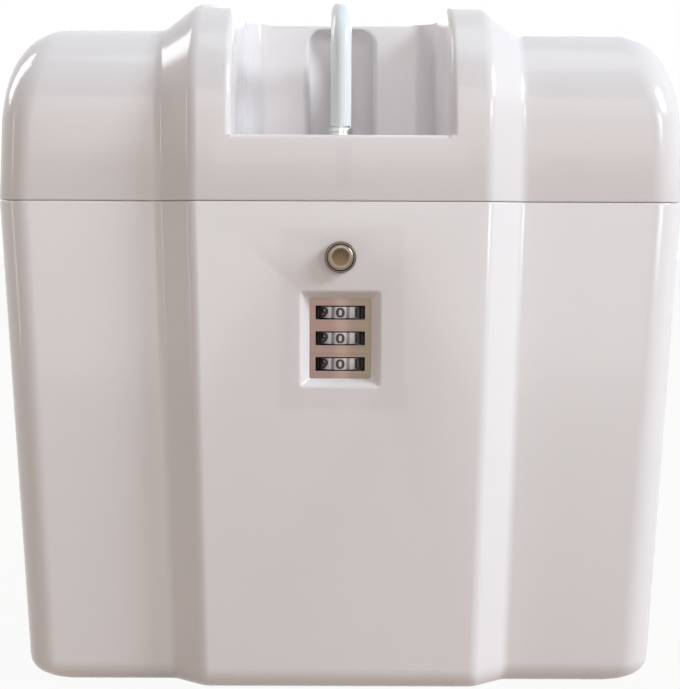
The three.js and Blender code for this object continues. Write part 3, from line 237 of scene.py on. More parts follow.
def make_mesh(name, points, faces):
    """A mesh from points in millimetres, with its faces turned outwards."""
    points = np.asarray(points, float)
    volume = 0.0
    for face in faces:
        first = points[face[0]]
        for a, b in zip(face[1:-1], face[2:]):
            volume += float(first @ np.cross(points[a], points[b]))
    if volume < 0:
        faces = [list(reversed(face)) for face in faces]
    mesh = bpy.data.meshes.new(name)
    mesh.from_pydata((points * MM).tolist(), [], [list(face) for face in faces])
    mesh.update()
    mesh.validate()
    return mesh


def new_object(name, data):
    made = bpy.data.objects.new(name, data)
    bpy.context.scene.collection.objects.link(made)
    return made


def loft(name, rings):
    """A closed object through equal rings of points, from the first to the last."""
    rings = [np.asarray(ring, float) for ring in rings]
    count = len(rings[0])
    faces = []
    for level in range(len(rings) - 1):
        for index in range(count):
            a = level * count + index
            b = level * count + (index + 1) % count
            faces.append([a, b, b + count, a + count])
    faces.append(list(range(count))[::-1])
    faces.append([(len(rings) - 1) * count + index for index in range(count)])
    return new_object(name, make_mesh(name, np.vstack(rings), faces))


def revolve(name, profile, axis, centre, steps=64):
    """A closed turned object. The profile's points are (radius, distance along the axis)."""
    ring = profile[0] == profile[-1]
    if ring:
        profile = profile[:-1]
    around = [2 * math.pi * step / steps for step in range(steps)]
    basis = {"x": (1, 2, 0), "y": (2, 0, 1), "z": (0, 1, 2)}[axis]
    points, rows = [], []
    for radius, along in profile:
        if radius < 1e-9:
            rows.append([len(points)] * steps)
            flat = [(0.0, 0.0)]
        else:
            rows.append(list(range(len(points), len(points) + steps)))
            flat = [(radius * math.cos(angle), radius * math.sin(angle)) for angle in around]
        for u, v in flat:
            point = list(centre)
            for direction, value in zip(basis, (u, v, along)):
                point[direction] += value
            points.append(point)
    faces = []
    for low, high in zip(rows, rows[1:] + rows[:1] if ring else rows[1:]):
        for step in range(steps):
            after = (step + 1) % steps
            face = []
            for index in (low[step], low[after], high[after], high[step]):
                if index not in face:
                    face.append(index)
            if len(face) > 2:
                faces.append(face)
    return new_object(name, make_mesh(name, points, faces))


def cylinder(name, radius, low, high, axis, centre, steps=24):
    """A closed round bar between two distances along its axis."""
    profile = [(0, low), (radius, low), (radius, high), (0, high)]
    return revolve(name, profile, axis, centre, steps)


def block(name, low, high):
    """A box between two opposite corners."""
    ring = [(low[0], low[1]), (high[0], low[1]), (high[0], high[1]), (low[0], high[1])]
    return loft(name, [[(x, y, z) for x, y in ring] for z in (low[2], high[2])])


def extrude_x(name, outline, low, high):
    """A closed object from an outline of (y, z) points."""
    return loft(name, [[(x, y, z) for y, z in outline] for x in (low, high)])


def bake(target, *helpers):
    """Applies the object's modifiers and removes the helpers that they used."""
    graph = bpy.context.evaluated_depsgraph_get()
    mesh = bpy.data.meshes.new_from_object(target.evaluated_get(graph))
    target.modifiers.clear()
    target.data = mesh
    for helper in helpers:
        bpy.data.objects.remove(helper, do_unlink=True)


def combine(target, others, operation):
    """Joins, cuts or intersects the target with other objects, and removes those."""
    for other in others:
        step = target.modifiers.new(operation, "BOOLEAN")
        step.object = other
        step.operation = operation
        step.solver = "EXACT"
    bake(target, *others)


def drop_loose(target):
    """Removes stray points that a boolean can leave."""
    work = bmesh.new()
    work.from_mesh(target.data)
    bmesh.ops.delete(work, geom=[v for v in work.verts if not v.link_faces], context="VERTS")
    work.to_mesh(target.data)
    work.free()


def smooth(target, degrees=35.0):
    """Smooth shading, apart from edges sharper than an angle."""
    mesh = target.data
    mesh.polygons.foreach_set("use_smooth", [True] * len(mesh.polygons))
    mesh.set_sharp_from_angle(angle=math.radians(degrees))


def place(piece, body, slot_name, *replaced, degrees=35.0):
    """Gives a piece its shading, its body, the solids that it stands for and its slot."""
    smooth(piece, degrees)
    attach(piece, body)
    if replaced:
        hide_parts(*replaced)
    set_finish(piece, slot_name)
    return piece


def rounded_corner(before, corner, after, radius, steps):
    """Points along the arc that rounds the corner between two lines."""
    into = (corner - before) / np.linalg.norm(corner - before)
    away = (after - corner) / np.linalg.norm(after - corner)
    turn = math.atan2(into[0] * away[1] - into[1] * away[0], float(into @ away))
    start = corner - into * radius * math.tan(abs(turn) / 2)
    side = 1.0 if turn > 0 else -1.0
    centre = start + np.array([-into[1], into[0]]) * radius * side
    x, y = start - centre
    made = []
    for step in range(steps + 1):
        angle = turn * step / steps
        cos, sin = math.cos(angle), math.sin(angle)
        made.append(centre + np.array([x * cos - y * sin, x * sin + y * cos]))
    return made


def belt_section(inset, corner_radius):
    """Points (x, height over the panel) from left to right, moved inwards by inset."""
    crest = BELT_HALF - inset * math.tan(BELT_ANGLE / 2)
    half = HALF_WIDTH - inset
    middle = np.array([0.0, BELT_PROUD])
    crest_corner = np.array([crest, BELT_PROUD])
    foot_corner = np.array([crest + BELT_SLOPE_WIDTH, 0.0])
    side_corner = np.array([half, 0.0])
    side = np.array([half, -HALF_WIDTH])
    right = []
    for before, corner, after, radius, steps in (
        (middle, crest_corner, foot_corner, BELT_CREST_RADIUS - inset, CREST_STEPS),
        (crest_corner, foot_corner, side_corner, BELT_FOOT_RADIUS + inset, FOOT_STEPS),
        (foot_corner, side_corner, side, corner_radius - inset, CORNER_STEPS),
    ):
        right += rounded_corner(before, corner, after, radius, steps)
    left = [np.array([-x, y]) for x, y in reversed(right)]
    return np.array([point - np.array([0.0, inset]) for point in left + right])


def side_share(x):
    """0 from the belt's foot inwards, rising to 1 at the rounded corner."""
    span = HALF_WIDTH - CORNER_RADIUS - BELT_FOOT
    return np.clip((np.abs(x) - BELT_FOOT) / span, 0.0, 1.0)


def body_outline(inset, draft_height, z, edge=0.0):
    """The tub's outline with the draft of one height, laid at the height z."""
    drop = BODY_HEIGHT - draft_height
    narrow = 1 - drop * math.tan(SIDE_DRAFT) / HALF_WIDTH
    shift = drop * math.tan(FRONT_DRAFT) + edge + BELT_PROUD
    section = belt_section(inset, CORNER_RADIUS)
    x = section[:, 0] * narrow - np.sign(section[:, 0]) * edge * side_share(section[:, 0])
    level = np.full(len(x), float(z))
    front = np.column_stack([x, FRONT_Y + shift - section[:, 1], level])
    rear = np.column_stack([x, REAR_Y - shift + section[:, 1], level])[::-1]
    return np.vstack([front, rear])


def body_form(name, inset, bottom, top, rim=0.0):
    """The tub's solid form, with a rounded bottom and, where rim is given, a rounded rim."""
    radius = BOTTOM_RADIUS - inset
    rings = []
    for sin, cos in quarter(BOTTOM_STEPS):
        z = bottom + radius * (1 - cos)
        rings.append(body_outline(inset, z, z, radius * (1 - sin)))
    if rim:
        for sin, cos in quarter(SMALL_EDGE_STEPS):
            z = top - rim * (1 - sin)
            rings.append(body_outline(inset + rim * (1 - cos), z, z))
    else:
        rings.append(body_outline(inset, top, top))
    return loft(name, rings)


def rim_form(name, inset, bottom, top):
    """An upright form with the outline of the tub's rim."""
    return loft(name, [body_outline(inset, BODY_HEIGHT, z) for z in (bottom, top)])


def lid_stations(bottom, inset):
    """(y, z, direction, corner radius, extra inset) along the lid's side profile."""
    radius = LID_FRONT_RADIUS
    centre_z = LID_PANEL_TOP - radius
    centres = ((1, FRONT_Y + BELT_PROUD + radius), (-1, REAR_Y - BELT_PROUD - radius))
    rows = []
    for sign, centre_y in centres:
        face_y = centre_y - sign * radius
        half = [(face_y, bottom, (-sign, 0.0), CORNER_RADIUS, 0.0)]
        if inset == 0.0:
            half = []
            for sin, cos in quarter(SMALL_EDGE_STEPS):
                rise, extra = PARTING_EDGE * (1 - cos), PARTING_EDGE * (1 - sin)
                half.append((face_y, bottom + rise, (-sign, 0.0), CORNER_RADIUS, extra))
        for sin, cos in quarter(ARC_STEPS):
            half.append((
                centre_y - sign * radius * cos,
                centre_z + radius * sin,
                (-sign * cos, sin),
                CORNER_RADIUS + (LID_SIDE_RADIUS - CORNER_RADIUS) * sin,
                0.0,
            ))
        rows += half if sign == 1 else half[::-1]
    return rows


def lid_form(name, inset, bottom):
    """The lid's section swept along its side profile, closed at the sides and the bottom."""
    rows = []
    for y, z, normal, corner, extra in lid_stations(bottom, inset):
        section = belt_section(inset + extra, corner)
        height = z + normal[1] * section[:, 1]
        above = np.maximum(0.0, height - BODY_HEIGHT)
        lean = above * math.tan(LID_DRAFT) * side_share(section[:, 0])
        x = section[:, 0] - np.sign(section[:, 0]) * lean
        rows.append(np.column_stack([x, y + normal[0] * section[:, 1], height]))
    columns = len(rows[0])
    last = len(rows) - 1
    faces = []
    for row in range(last):
        for column in range(columns - 1):
            a = row * columns + column
            faces.append([a, a + 1, a + 1 + columns, a + columns])
    # The sides are filled by strips between the front half and the rear half of the profile
    for column in (0, columns - 1):
        for row in range(last // 2):
            a, b = row * columns + column, (row + 1) * columns + column
            c, d = (last - row - 1) * columns + column, (last - row) * columns + column
            quad = [a, b, c, d]
            faces.append(quad[::-1] if column else quad)
    front = list(range(columns))
    rear = [last * columns + column for column in front]
    faces.append(front[::-1] + rear)
    return new_object(name, make_mesh(name, np.vstack(rows), faces))


def hinge_screw_holes(direction):
    """The hinge's screw holes above (1) or below (-1) the parting line."""
    z = BODY_HEIGHT + direction * HINGE_SCREWS_FROM_PARTING
    return [
        cylinder("screw_hole", PILOT_RADIUS, REAR_Y - 2 * WALL, REAR_Y + WALL, "y", (x, 0, z))
        for x in HINGE_SCREWS_X
    ]


def pilot(x, seat_y, z):
    """A blind screw hole in a seat that faces the rear."""
    return cylinder("pilot", PILOT_RADIUS, seat_y - PILOT_DEPTH, seat_y + 1, "y", (x, 0, z))


def rounded_rectangle(half_x, half_z, radius, steps=5):
    made = []
    for corner, (sign_x, sign_z) in enumerate(((1, 1), (-1, 1), (-1, -1), (1, -1))):
        for step in range(steps + 1):
            angle = math.pi / 2 * (corner + step / steps)
            made.append((
                sign_x * (half_x - radius) + radius * math.cos(angle),
                sign_z * (half_z - radius) + radius * math.sin(angle),
            ))
    return made


def recess_cutter():
    """The sloped recess round the number wheels, with soft edges."""
    tilt = math.tan(FRONT_DRAFT)
    face_depth = (BODY_HEIGHT - DIALS_Z) * tilt
    throat = LOCK_SEAT_DEPTH - face_depth
    rings = []

    def ring(half, radius, depth, tilted):
        points = []
        for x, z in rounded_rectangle(*half, radius):
            lean = -z * tilt * tilted
            points.append((x, FRONT_Y + face_depth + depth + lean, DIALS_Z + z))
        rings.append(points)

    ring(RECESS_THROAT, RECESS_THROAT_CORNER, throat + 3, 0.0)
    ring(RECESS_THROAT, RECESS_THROAT_CORNER, throat, 0.0)
    mouth = np.array(RECESS_MOUTH)
    for step in range(RECESS_STEPS + 1):
        share = step / RECESS_STEPS
        # A curve from the slope to the face, so that the recess's mouth has a soft edge
        inner, corner, outer = (1 - share) ** 2, 2 * share * (1 - share), share ** 2
        half = np.array([inner, corner, outer]) @ mouth
        radius = RECESS_SLOPE_CORNER + (RECESS_MOUTH_CORNER - RECESS_SLOPE_CORNER) * share
        tilted = (1 - RECESS_MOUTH_SHARE) * inner + corner + outer
        ring(half, radius, throat * RECESS_MOUTH_SHARE * inner, tilted)
    ring(RECESS_MOUTH[-1], RECESS_MOUTH_CORNER, -2.0, 1.0)
    return loft("recess", rings)


def make_body():
    body = body_form("tub", 0.0, 0.0, BODY_HEIGHT - PARTING_GAP / 2, rim=PARTING_EDGE)
    combine(body, [body_form("tub_inside", WALL, WALL, BODY_HEIGHT + 1)], "DIFFERENCE")
    lip = rim_form("lip", WALL - LIP_THICKNESS, BODY_HEIGHT - 1, BODY_HEIGHT + LIP_HEIGHT)
    lip_inside = rim_form("lip_inside", WALL, BODY_HEIGHT - 2, BODY_HEIGHT + LIP_HEIGHT + 1)
    combine(lip, [lip_inside], "DIFFERENCE")
    half = LOCK_PAD_HALF
    low, high = DIALS_Z - LOCK_PAD_BELOW_DIALS, DIALS_Z + LOCK_PAD_ABOVE_DIALS
    front, rear = LOCK_SEAT_Y - LOCK_PAD_THICKNESS, LOCK_SEAT_Y + LOCK_DEPTH + FIT
    bush_axis = (0, 0, BUTTON_Z)
    pad = block("pad", (-half, front, low), (half, LOCK_SEAT_Y, high))
    combine(body, [lip, pad], "UNION")
    cutters = [
        block("behind_pad", (-half, LOCK_SEAT_Y, low), (half, rear, high)),
        recess_cutter(),
        cylinder(
            "bush_hole", BUSH_HOLE_RADIUS, BUSH_HOLE_START_Y, LOCK_SEAT_Y + 1, "y", bush_axis, 64
        ),
        *hinge_screw_holes(-1),
    ]
    for x in COVER_SCREWS_X:
        cutters += [pilot(x, LOCK_SEAT_Y, DIALS_Z + rise) for rise in COVER_SCREWS_ABOVE_DIALS]
    combine(body, cutters, "DIFFERENCE")
    drop_loose(body)
    return body


def pocket_block(name, grow, low, high, steps=10):
    """The pocket's form between two heights, grown by a distance."""
    half, rear, corner = POCKET_HALF + grow, POCKET_REAR_Y + grow, POCKET_CORNER + grow
    right = [
        (half - corner + corner * cos, rear - corner + corner * sin) for sin, cos in quarter(steps)
    ]
    outline = [(-half, FRONT_Y - 8), (half, FRONT_Y - 8)] + right
    outline += [(-x, y) for x, y in reversed(right)]
    return loft(name, [[(x, y, z) for x, y in outline] for z in (low, high)])


def niche(name, grow):
    """The round niche in the pocket's rear wall, grown by a distance."""
    radius = NICHE_RADIUS + grow
    ceiling = LID_TOP - NICHE_ROOF + grow
    profile = [(0, FLOOR_Z - grow), (radius, FLOOR_Z - grow)]
    for sin, cos in quarter(EDGE_STEPS):
        profile.append((radius - NICHE_CROWN * (1 - cos), ceiling - NICHE_CROWN * (1 - sin)))
    return revolve(name, profile + [(0, ceiling)], "z", (0, POCKET_REAR_Y, 0), 96)


def niche_edge(steps=12):
    """Rounds the niche's edge on the pocket's rear wall, and less so at its thin roof."""
    crown_z = LID_TOP - NICHE_ROOF - NICHE_CROWN
    line = [(NICHE_RADIUS, FLOOR_Z, 0.0, NICHE_EDGE)]
    for step in range(steps + 1):
        angle = math.pi / 2 * step / steps
        line.append((
            NICHE_RADIUS - NICHE_CROWN * (1 - math.cos(angle)),
            crown_z + NICHE_CROWN * math.sin(angle),
            angle,
            NICHE_EDGE + (NICHE_TOP_EDGE - NICHE_EDGE) * math.sin(angle),
        ))
    line += [(-x, z, math.pi - angle, edge) for x, z, angle, edge in reversed(line)]
    rings = []
    for x, z, angle, edge in line:
        centre = math.sqrt(NICHE_RADIUS ** 2 + 2 * NICHE_RADIUS * edge) - NICHE_RADIUS
        end = math.pi / 2 - math.atan2(edge, NICHE_RADIUS + centre)
        section = [(centre, -1.0)]
        for step in range(EDGE_STEPS + 1):
            turn = end * step / EDGE_STEPS
            section.append((centre - edge * math.sin(turn), edge - edge * math.cos(turn)))
        section += [(-1.0, section[-1][1]), (-1.0, -1.0)]
        rings.append([
            (x + out * math.cos(angle), POCKET_REAR_Y + depth, z + out * math.sin(angle))
            for out, depth in section
        ])
    return loft("niche_edge", rings)


def pocket_edge(name, sign):
    """Rounds one long top edge of the pocket, along the belt's curve."""
    stations = lid_stations(FLOOR_Z, 1.0)[: ARC_STEPS + 2]
    y, z, normal, corner, extra = stations[-1]
    stations.append((POCKET_REAR_Y - POCKET_CORNER, z, normal, corner, extra))
    inner, outer = POCKET_HALF - POCKET_EDGE, POCKET_HALF + POCKET_EDGE
    low, high = BELT_PROUD - POCKET_EDGE, BELT_PROUD + POCKET_EDGE
    section = [
        (outer - POCKET_EDGE * cos, low + POCKET_EDGE * sin) for sin, cos in quarter(EDGE_STEPS)
    ]
    section += [(outer, high), (inner, high), (inner, low)]
    rings = [
        [(sign * x, y + normal[0] * rise, z + normal[1] * rise) for x, rise in section]
        for y, z, normal, _, _ in stations
    ]
    return loft(name, rings)


def edge_round(name, y, z, radius, half):
    """Rounds an edge along X that faces the front and the top."""
    outline = [(y + radius * (1 - cos), z - radius * (1 - sin)) for sin, cos in quarter(EDGE_STEPS)]
    outline += [(y + radius, z + radius), (y - radius, z + radius), (y - radius, z - radius)]
    return extrude_x(name, outline, -half, half)


def make_lid():
    lid = lid_form("cover", 0.0, BODY_HEIGHT + PARTING_GAP / 2)
    shape = new_object("shape", lid.data.copy())
    inside = lid_form("cover_inside", WALL, BODY_HEIGHT - 1)
    rebate_top = BODY_HEIGHT + LIP_HEIGHT + FIT
    rebate = rim_form("rebate", WALL - LIP_THICKNESS - FIT, BODY_HEIGHT - 1, rebate_top)
    combine(lid, [inside, rebate], "DIFFERENCE")
    walls = pocket_block("pocket_walls", WALL, FLOOR_Z - WALL, LID_TOP + 1)
    combine(walls, [niche("niche_wall", WALL)], "UNION")
    combine(walls, [shape], "INTERSECT")
    rib_low = (-STRIKER_RIB_HALF, FRONT_Y + WALL / 2, rebate_top)
    rib_high = (STRIKER_RIB_HALF, STRIKER_SEAT_Y, FLOOR_Z - WALL / 2)
    combine(lid, [walls, block("rib", rib_low, rib_high)], "UNION")
    cutters = [
        pocket_block("pocket", 0.0, FLOOR_Z, LID_TOP + 5),
        niche("niche", 0.0),
        niche_edge(),
        pocket_edge("pocket_edge_right", 1),
        pocket_edge("pocket_edge_left", -1),
        edge_round("sill_edge", FRONT_Y, FLOOR_Z, SILL_EDGE, POCKET_HALF),
        edge_round("rear_edge", POCKET_REAR_Y, LID_TOP, SILL_EDGE, POCKET_HALF - POCKET_CORNER),
        *hinge_screw_holes(1),
    ]
    for leg in (HANDLE_FRONT_LEG, HANDLE_REAR_LEG):
        centre = (0, FRONT_Y + leg, 0)
        cutters.append(
            cylinder("rod_hole", ROD_BORE, FLOOR_Z - 2 * WALL, FLOOR_Z + 1, "z", centre, 32)
        )
    cutters += [pilot(0, STRIKER_SEAT_Y, BODY_HEIGHT + rise) for rise in STRIKER_SCREW_HEIGHTS]
    combine(lid, cutters, "DIFFERENCE")
    drop_loose(lid)
    return lid


# The two shells
tub = make_body()
tub.name = "tub_smooth"
smooth(tub, 32)
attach(tub, "body")
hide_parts("body_shell")
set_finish(tub, "shell")

cover = make_lid()
cover.name = "lid_smooth"
smooth(cover, 32)
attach(cover, "lid")
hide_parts("lid_shell")
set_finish(cover, "shell")


def handle_line(end_z, bend_steps=16):
    """(y, z, tilt of the section) from the front leg to the rear leg."""
    front, rear = FRONT_Y + HANDLE_FRONT_LEG, FRONT_Y + HANDLE_REAR_LEG
    centre_z = LID_TOP - HANDLE_BELOW_TOP - SLEEVE_RADIUS - HANDLE_BEND
    rows = [(front, end_z, math.pi)]
    for centre_y, start in ((front + HANDLE_BEND, math.pi), (rear - HANDLE_BEND, math.pi / 2)):
        for step in range(bend_steps + 1):
            angle = start - math.pi / 2 * step / bend_steps
            y = centre_y + HANDLE_BEND * math.cos(angle)
            rows.append((y, centre_z + HANDLE_BEND * math.sin(angle), angle))
    rows.append((rear, end_z, 0.0))
    return rows


def tube_ring(y, z, tilt, radius, steps=32):
    """A circle round one place of the handle's line."""
    made = []
    for step in range(steps):
        angle = 2 * math.pi * step / steps
        out = radius * math.cos(angle)
        made.append((radius * math.sin(angle), y + out * math.cos(tilt), z + out * math.sin(tilt)))
    return made


def tube(name, end_z, radius, edge, bore=0.0):
    """A bent bar, or with a bore a bent sleeve, whose ends have rounded edges."""
    line = handle_line(end_z)
    y, z, tilt = line[0]
    far_y, far_z, far_tilt = line[-1]
    lead = [(edge * (1 - sin), edge * (1 - cos)) for sin, cos in quarter(5)[:-1]]
    lead.append((0.0, edge))
    rings = [tube_ring(y, z + rise, tilt, radius - inset) for inset, rise in lead]
    rings += [tube_ring(*row, radius) for row in line[1:-1]]
    rings += [
        tube_ring(far_y, far_z + rise, far_tilt, radius - inset) for inset, rise in reversed(lead)
    ]
    if not bore:
        return loft(name, rings)
    rings += [tube_ring(*row, bore) for row in reversed(line)]
    count = len(rings[0])
    faces = []
    for level in range(len(rings)):
        here, after = level * count, (level + 1) % len(rings) * count
        for index in range(count):
            beside = (index + 1) % count
            faces.append([here + index, here + beside, after + beside, after + index])
    return new_object(name, make_mesh(name, np.vstack(rings), faces))


# The handle's pieces
rod = tube("rod_smooth", FLOOR_Z - HANDLE_END_BELOW_FLOOR, ROD_RADIUS, ROD_EDGE)
place(rod, "lid", "steel", "handle_rod")
sleeve_end = FLOOR_Z + FIT + FERRULE_HEIGHT + FIT
sleeve = tube("sleeve_smooth", sleeve_end, SLEEVE_RADIUS, SLEEVE_EDGE, bore=ROD_BORE)
place(sleeve, "lid", "vinyl", "handle_sleeve")

for end, leg in (("front", HANDLE_FRONT_LEG), ("rear", HANDLE_REAR_LEG)):
    low = FLOOR_Z + FIT
    high = low + FERRULE_HEIGHT
    profile = [(ROD_BORE, low), (FERRULE_RADIUS - FERRULE_CHAMFER, low)]
    profile.append((FERRULE_RADIUS, low + FERRULE_CHAMFER))
    profile += [(FERRULE_RADIUS - depth, low + rise) for rise, depth in FERRULE_GROOVE]
    for sin, cos in quarter(5):
        profile.append((
            FERRULE_RADIUS - FERRULE_EDGE * (1 - cos),
            high - FERRULE_EDGE * (1 - sin),
        ))
    profile += [(ROD_BORE, high), (ROD_BORE, low)]
    ferrule = revolve(f"ferrule_{end}_smooth", profile, "z", (0, FRONT_Y + leg, 0), 48)
    place(ferrule, "lid", "steel", f"handle_ferrule_{end}")

# The button and its bush, whose front is measured from the sloping face
bush_front = FRONT_Y + (BODY_HEIGHT - BUTTON_Z) * math.tan(FRONT_DRAFT) - BUSH_REACH
bush_rear = LOCK_SEAT_Y + FIT + LOCK_WALL + FIT + BUSH_NUT_HEIGHT + FIT
profile = [(BUSH_BORE, bush_front)]
for sin, cos in quarter(6):
    profile.append((BUSH_RADIUS - BUSH_EDGE * (1 - sin), bush_front + BUSH_EDGE * (1 - cos)))
profile += [(BUSH_RADIUS, bush_rear), (BUSH_BORE, bush_rear), (BUSH_BORE, bush_front)]
bush = revolve("bush_smooth", profile, "y", (0, 0, BUTTON_Z))
place(bush, "body", "bronze", "button_bush")

button_front = bush_front - BUTTON_ABOVE_BUSH
stem_end = SLIDE_Y + SLIDE_THICKNESS + FIT + CLIP_THICKNESS + FIT + STEM_TAIL
profile = [(radius, button_front + depth) for radius, depth in BUTTON_DISH]
for step in range(7):
    angle = BUTTON_RIM_ANGLE * step / 6
    profile.append((
        BUTTON_RIM_START + BUTTON_RIM_RADIUS * math.sin(angle),
        button_front + BUTTON_RIM_RADIUS * (1 - math.cos(angle)),
    ))
profile += [(radius, button_front + depth) for radius, depth in BUTTON_RIM_FOOT]
profile += [
    (BUTTON_RADIUS, SLIDE_Y - FIT - BUTTON_BEVEL),
    (BUTTON_RADIUS - BUTTON_BEVEL, SLIDE_Y - FIT),
    (STEM_RADIUS, SLIDE_Y - FIT),
    (STEM_RADIUS, stem_end - STEM_CHAMFER),
    (STEM_RADIUS - STEM_CHAMFER, stem_end),
    (0, stem_end),
]
button = revolve("button_smooth", profile, "y", (0, 0, BUTTON_Z))
place(button, "latch", "bronze", "push_button", degrees=25.0)


def make_spring():
    """The button's return spring, as long as the solid that it stands for."""
    held = nodes["button_spring"]
    along = [(held.matrix_world @ vertex.co).y / MM for vertex in held.data.vertices]
    front, rear = min(along), max(along)
    steps = SPRING_TURNS * SPRING_STEPS
    turn = 2 * math.pi * SPRING_TURNS
    rise = (rear - front - 2 * SPRING_WIRE) / turn
    sides = [2 * math.pi * corner / SPRING_CORNERS for corner in range(SPRING_CORNERS)]
    rings = []
    for step in range(steps + 1):
        angle = turn * step / steps
        cos, sin = math.cos(angle), math.sin(angle)
        out = np.array([cos, 0.0, sin])
        forward = np.array([-sin * SPRING_RADIUS, rise, cos * SPRING_RADIUS])
        beside = np.cross(forward / np.linalg.norm(forward), out)
        start = np.array([0.0, front + SPRING_WIRE + rise * angle, BUTTON_Z])
        rings.append([
            start + out * (SPRING_RADIUS + SPRING_WIRE * math.cos(side))
            + beside * SPRING_WIRE * math.sin(side)
            for side in sides
        ])
    made = loft("spring_smooth", rings)
    place(made, "latch", "spring_steel", "button_spring", degrees=60.0)
    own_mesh(made)


make_spring()


def wheel_outline(shrink):
    """One wheel's outline: slightly crowned faces with scooped grooves between them."""
    polar = []
    for digit in range(DIGITS):
        middle = -math.pi / 2 + digit * 2 * math.pi / DIGITS
        for step in range(-4, 5):
            share = step / 4
            radius = DIAL_RADIUS - FACE_CROWN * share ** 2
            polar.append((radius, middle + FACE_HALF_ANGLE * share))
        for step in range(1, 6):
            share = step / 6
            radius = DIAL_RADIUS - FACE_CROWN - GROOVE_DEPTH * math.sin(math.pi * share)
            polar.append((radius, middle + FACE_HALF_ANGLE + GROOVE_ANGLE * share))
    return [
        ((radius - shrink) * math.cos(angle), (radius - shrink) * math.sin(angle))
        for radius, angle in polar
    ]


def make_wheel(index, z):
    """A number wheel with its hub below it and a bore for the shaft."""
    axis = (0, SHAFT_Y, 0)
    levels = [
        (DIAL_EDGE * (1 - sin), z - DIAL_HALF_HEIGHT + DIAL_EDGE * (1 - cos))
        for sin, cos in quarter(4)
    ]
    levels += [(inset, 2 * z - level) for inset, level in reversed(levels)]
    rings = [[(x, SHAFT_Y + y, level) for x, y in wheel_outline(inset)] for inset, level in levels]
    wheel = loft(f"wheel_{index}_smooth", rings)
    hub_end = z - DIAL_HALF_HEIGHT - DIAL_HUB_HEIGHT
    combine(wheel, [cylinder("hub", DIAL_HUB_RADIUS, hub_end, z, "z", axis, 48)], "UNION")
    bore = cylinder("bore", DIAL_BORE, z - 8, z + 4, "z", axis, 48)
    combine(wheel, [bore], "DIFFERENCE")
    return wheel


def make_digit(wheel_index, digit, z):
    """A plain numeral, let into the crowned face that carries it."""
    curve = bpy.data.curves.new(f"digit_{wheel_index}_{digit}", "FONT")
    curve.body = str(digit)
    curve.align_x = "CENTER"
    curve.align_y = "CENTER"
    curve.size = NUMERAL_SIZE * MM
    curve.offset = NUMERAL_WEIGHT * MM
    curve.extrude = NUMERAL_THICKNESS * MM
    curve.resolution_u = 6
    piece = new_object(curve.name, curve)
    bpy.context.view_layer.update()
    graph = bpy.context.evaluated_depsgraph_get()
    mesh = bpy.data.meshes.new_from_object(piece.evaluated_get(graph))
    bpy.data.objects.remove(piece, do_unlink=True)
    points = np.array([vertex.co for vertex in mesh.vertices])
    points[:, :2] -= (points[:, :2].max(0) + points[:, :2].min(0)) / 2
    points[:, :2] *= NUMERAL_STRETCH
    mesh.vertices.foreach_set("co", points.ravel())
    # Upright cuts let the numeral's flat face follow the wheel's curve
    work = bmesh.new()
    work.from_mesh(mesh)
    for step in range(-NUMERAL_CUTS, NUMERAL_CUTS + 1):
        everything = work.verts[:] + work.edges[:] + work.faces[:]
        cut = (step * NUMERAL_CUT_PITCH * MM, 0, 0)
        bmesh.ops.bisect_plane(work, geom=everything, plane_co=cut, plane_no=(1, 0, 0))
    work.to_mesh(mesh)
    work.free()
    # The text's own axes are right, up and out. The digit 0 faces -Y, and the next digit stands to
    # the right of it.
    x, up, out = np.array([vertex.co for vertex in mesh.vertices]).T / MM
    radius = DIAL_RADIUS - NUMERAL_INSET
    angle = x / radius + 2 * math.pi * digit / DIGITS
    reach = radius + out - NUMERAL_DROP * (x / NUMERAL_DROP_AT) ** 2
    placed = np.column_stack([reach * np.sin(angle), SHAFT_Y - reach * np.cos(angle), z + up])
    mesh.vertices.foreach_set("co", (placed * MM).ravel())
    mesh.update()
    return mesh


# The number wheels from top to bottom, each with its ten numerals as one piece
numerals = []
for index, z in enumerate((DIALS_Z + DIAL_PITCH, DIALS_Z, DIALS_Z - DIAL_PITCH), start=1):
    wheel = make_wheel(index, z)
    place(wheel, f"dial_{index}", "wheels", f"dial_wheel_{index}", degrees=40.0)
    work = bmesh.new()
    for digit in range(DIGITS):
        mesh = make_digit(index, digit, z)
        work.from_mesh(mesh)
        bpy.data.meshes.remove(mesh)
    joined = bpy.data.meshes.new(f"numerals_{index}")
    work.to_mesh(joined)
    work.free()
    numeral = new_object(f"numerals_{index}", joined)
    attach(numeral, f"dial_{index}")
    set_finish(numeral, "wheels")
    numerals.append(numeral)


# Looks. The first value of a texture is its scale, followed by its detail, roughness and stretch,
# and colours are linear.
METAL_TEXTURE = (240.0, 6.0, 0.65)
METAL_RELIEF = (0.12, 0.06 * MM)


def new_material(name):
    made = bpy.data.materials.new(name)
    made.use_nodes = True
    return made, made.node_tree, made.node_tree.nodes["Principled BSDF"].inputs


def noise(tree, scale, detail=4.0, roughness=0.5, stretch=(1.0, 1.0, 1.0)):
    """The values of a noise texture in the piece's own coordinates."""
    where = tree.nodes.new("ShaderNodeTexCoord")
    mapping = tree.nodes.new("ShaderNodeMapping")
    mapping.inputs["Scale"].default_value = stretch
    texture = tree.nodes.new("ShaderNodeTexNoise")
    for name, value in (("Scale", scale), ("Detail", detail), ("Roughness", roughness)):
        texture.inputs[name].default_value = value
    tree.links.new(where.outputs["Object"], mapping.inputs["Vector"])
    tree.links.new(mapping.outputs["Vector"], texture.inputs["Vector"])
    return texture.outputs["Fac"]


def spread(tree, source, low, high, start=0.3, end=0.7, curve="LINEAR"):
    """Maps the values from start to end to the range low to high."""
    node = tree.nodes.new("ShaderNodeMapRange")
    node.interpolation_type = curve
    for name, value in (("From Min", start), ("From Max", end), ("To Min", low), ("To Max", high)):
        node.inputs[name].default_value = value
    tree.links.new(source, node.inputs["Value"])
    return node.outputs["Result"]


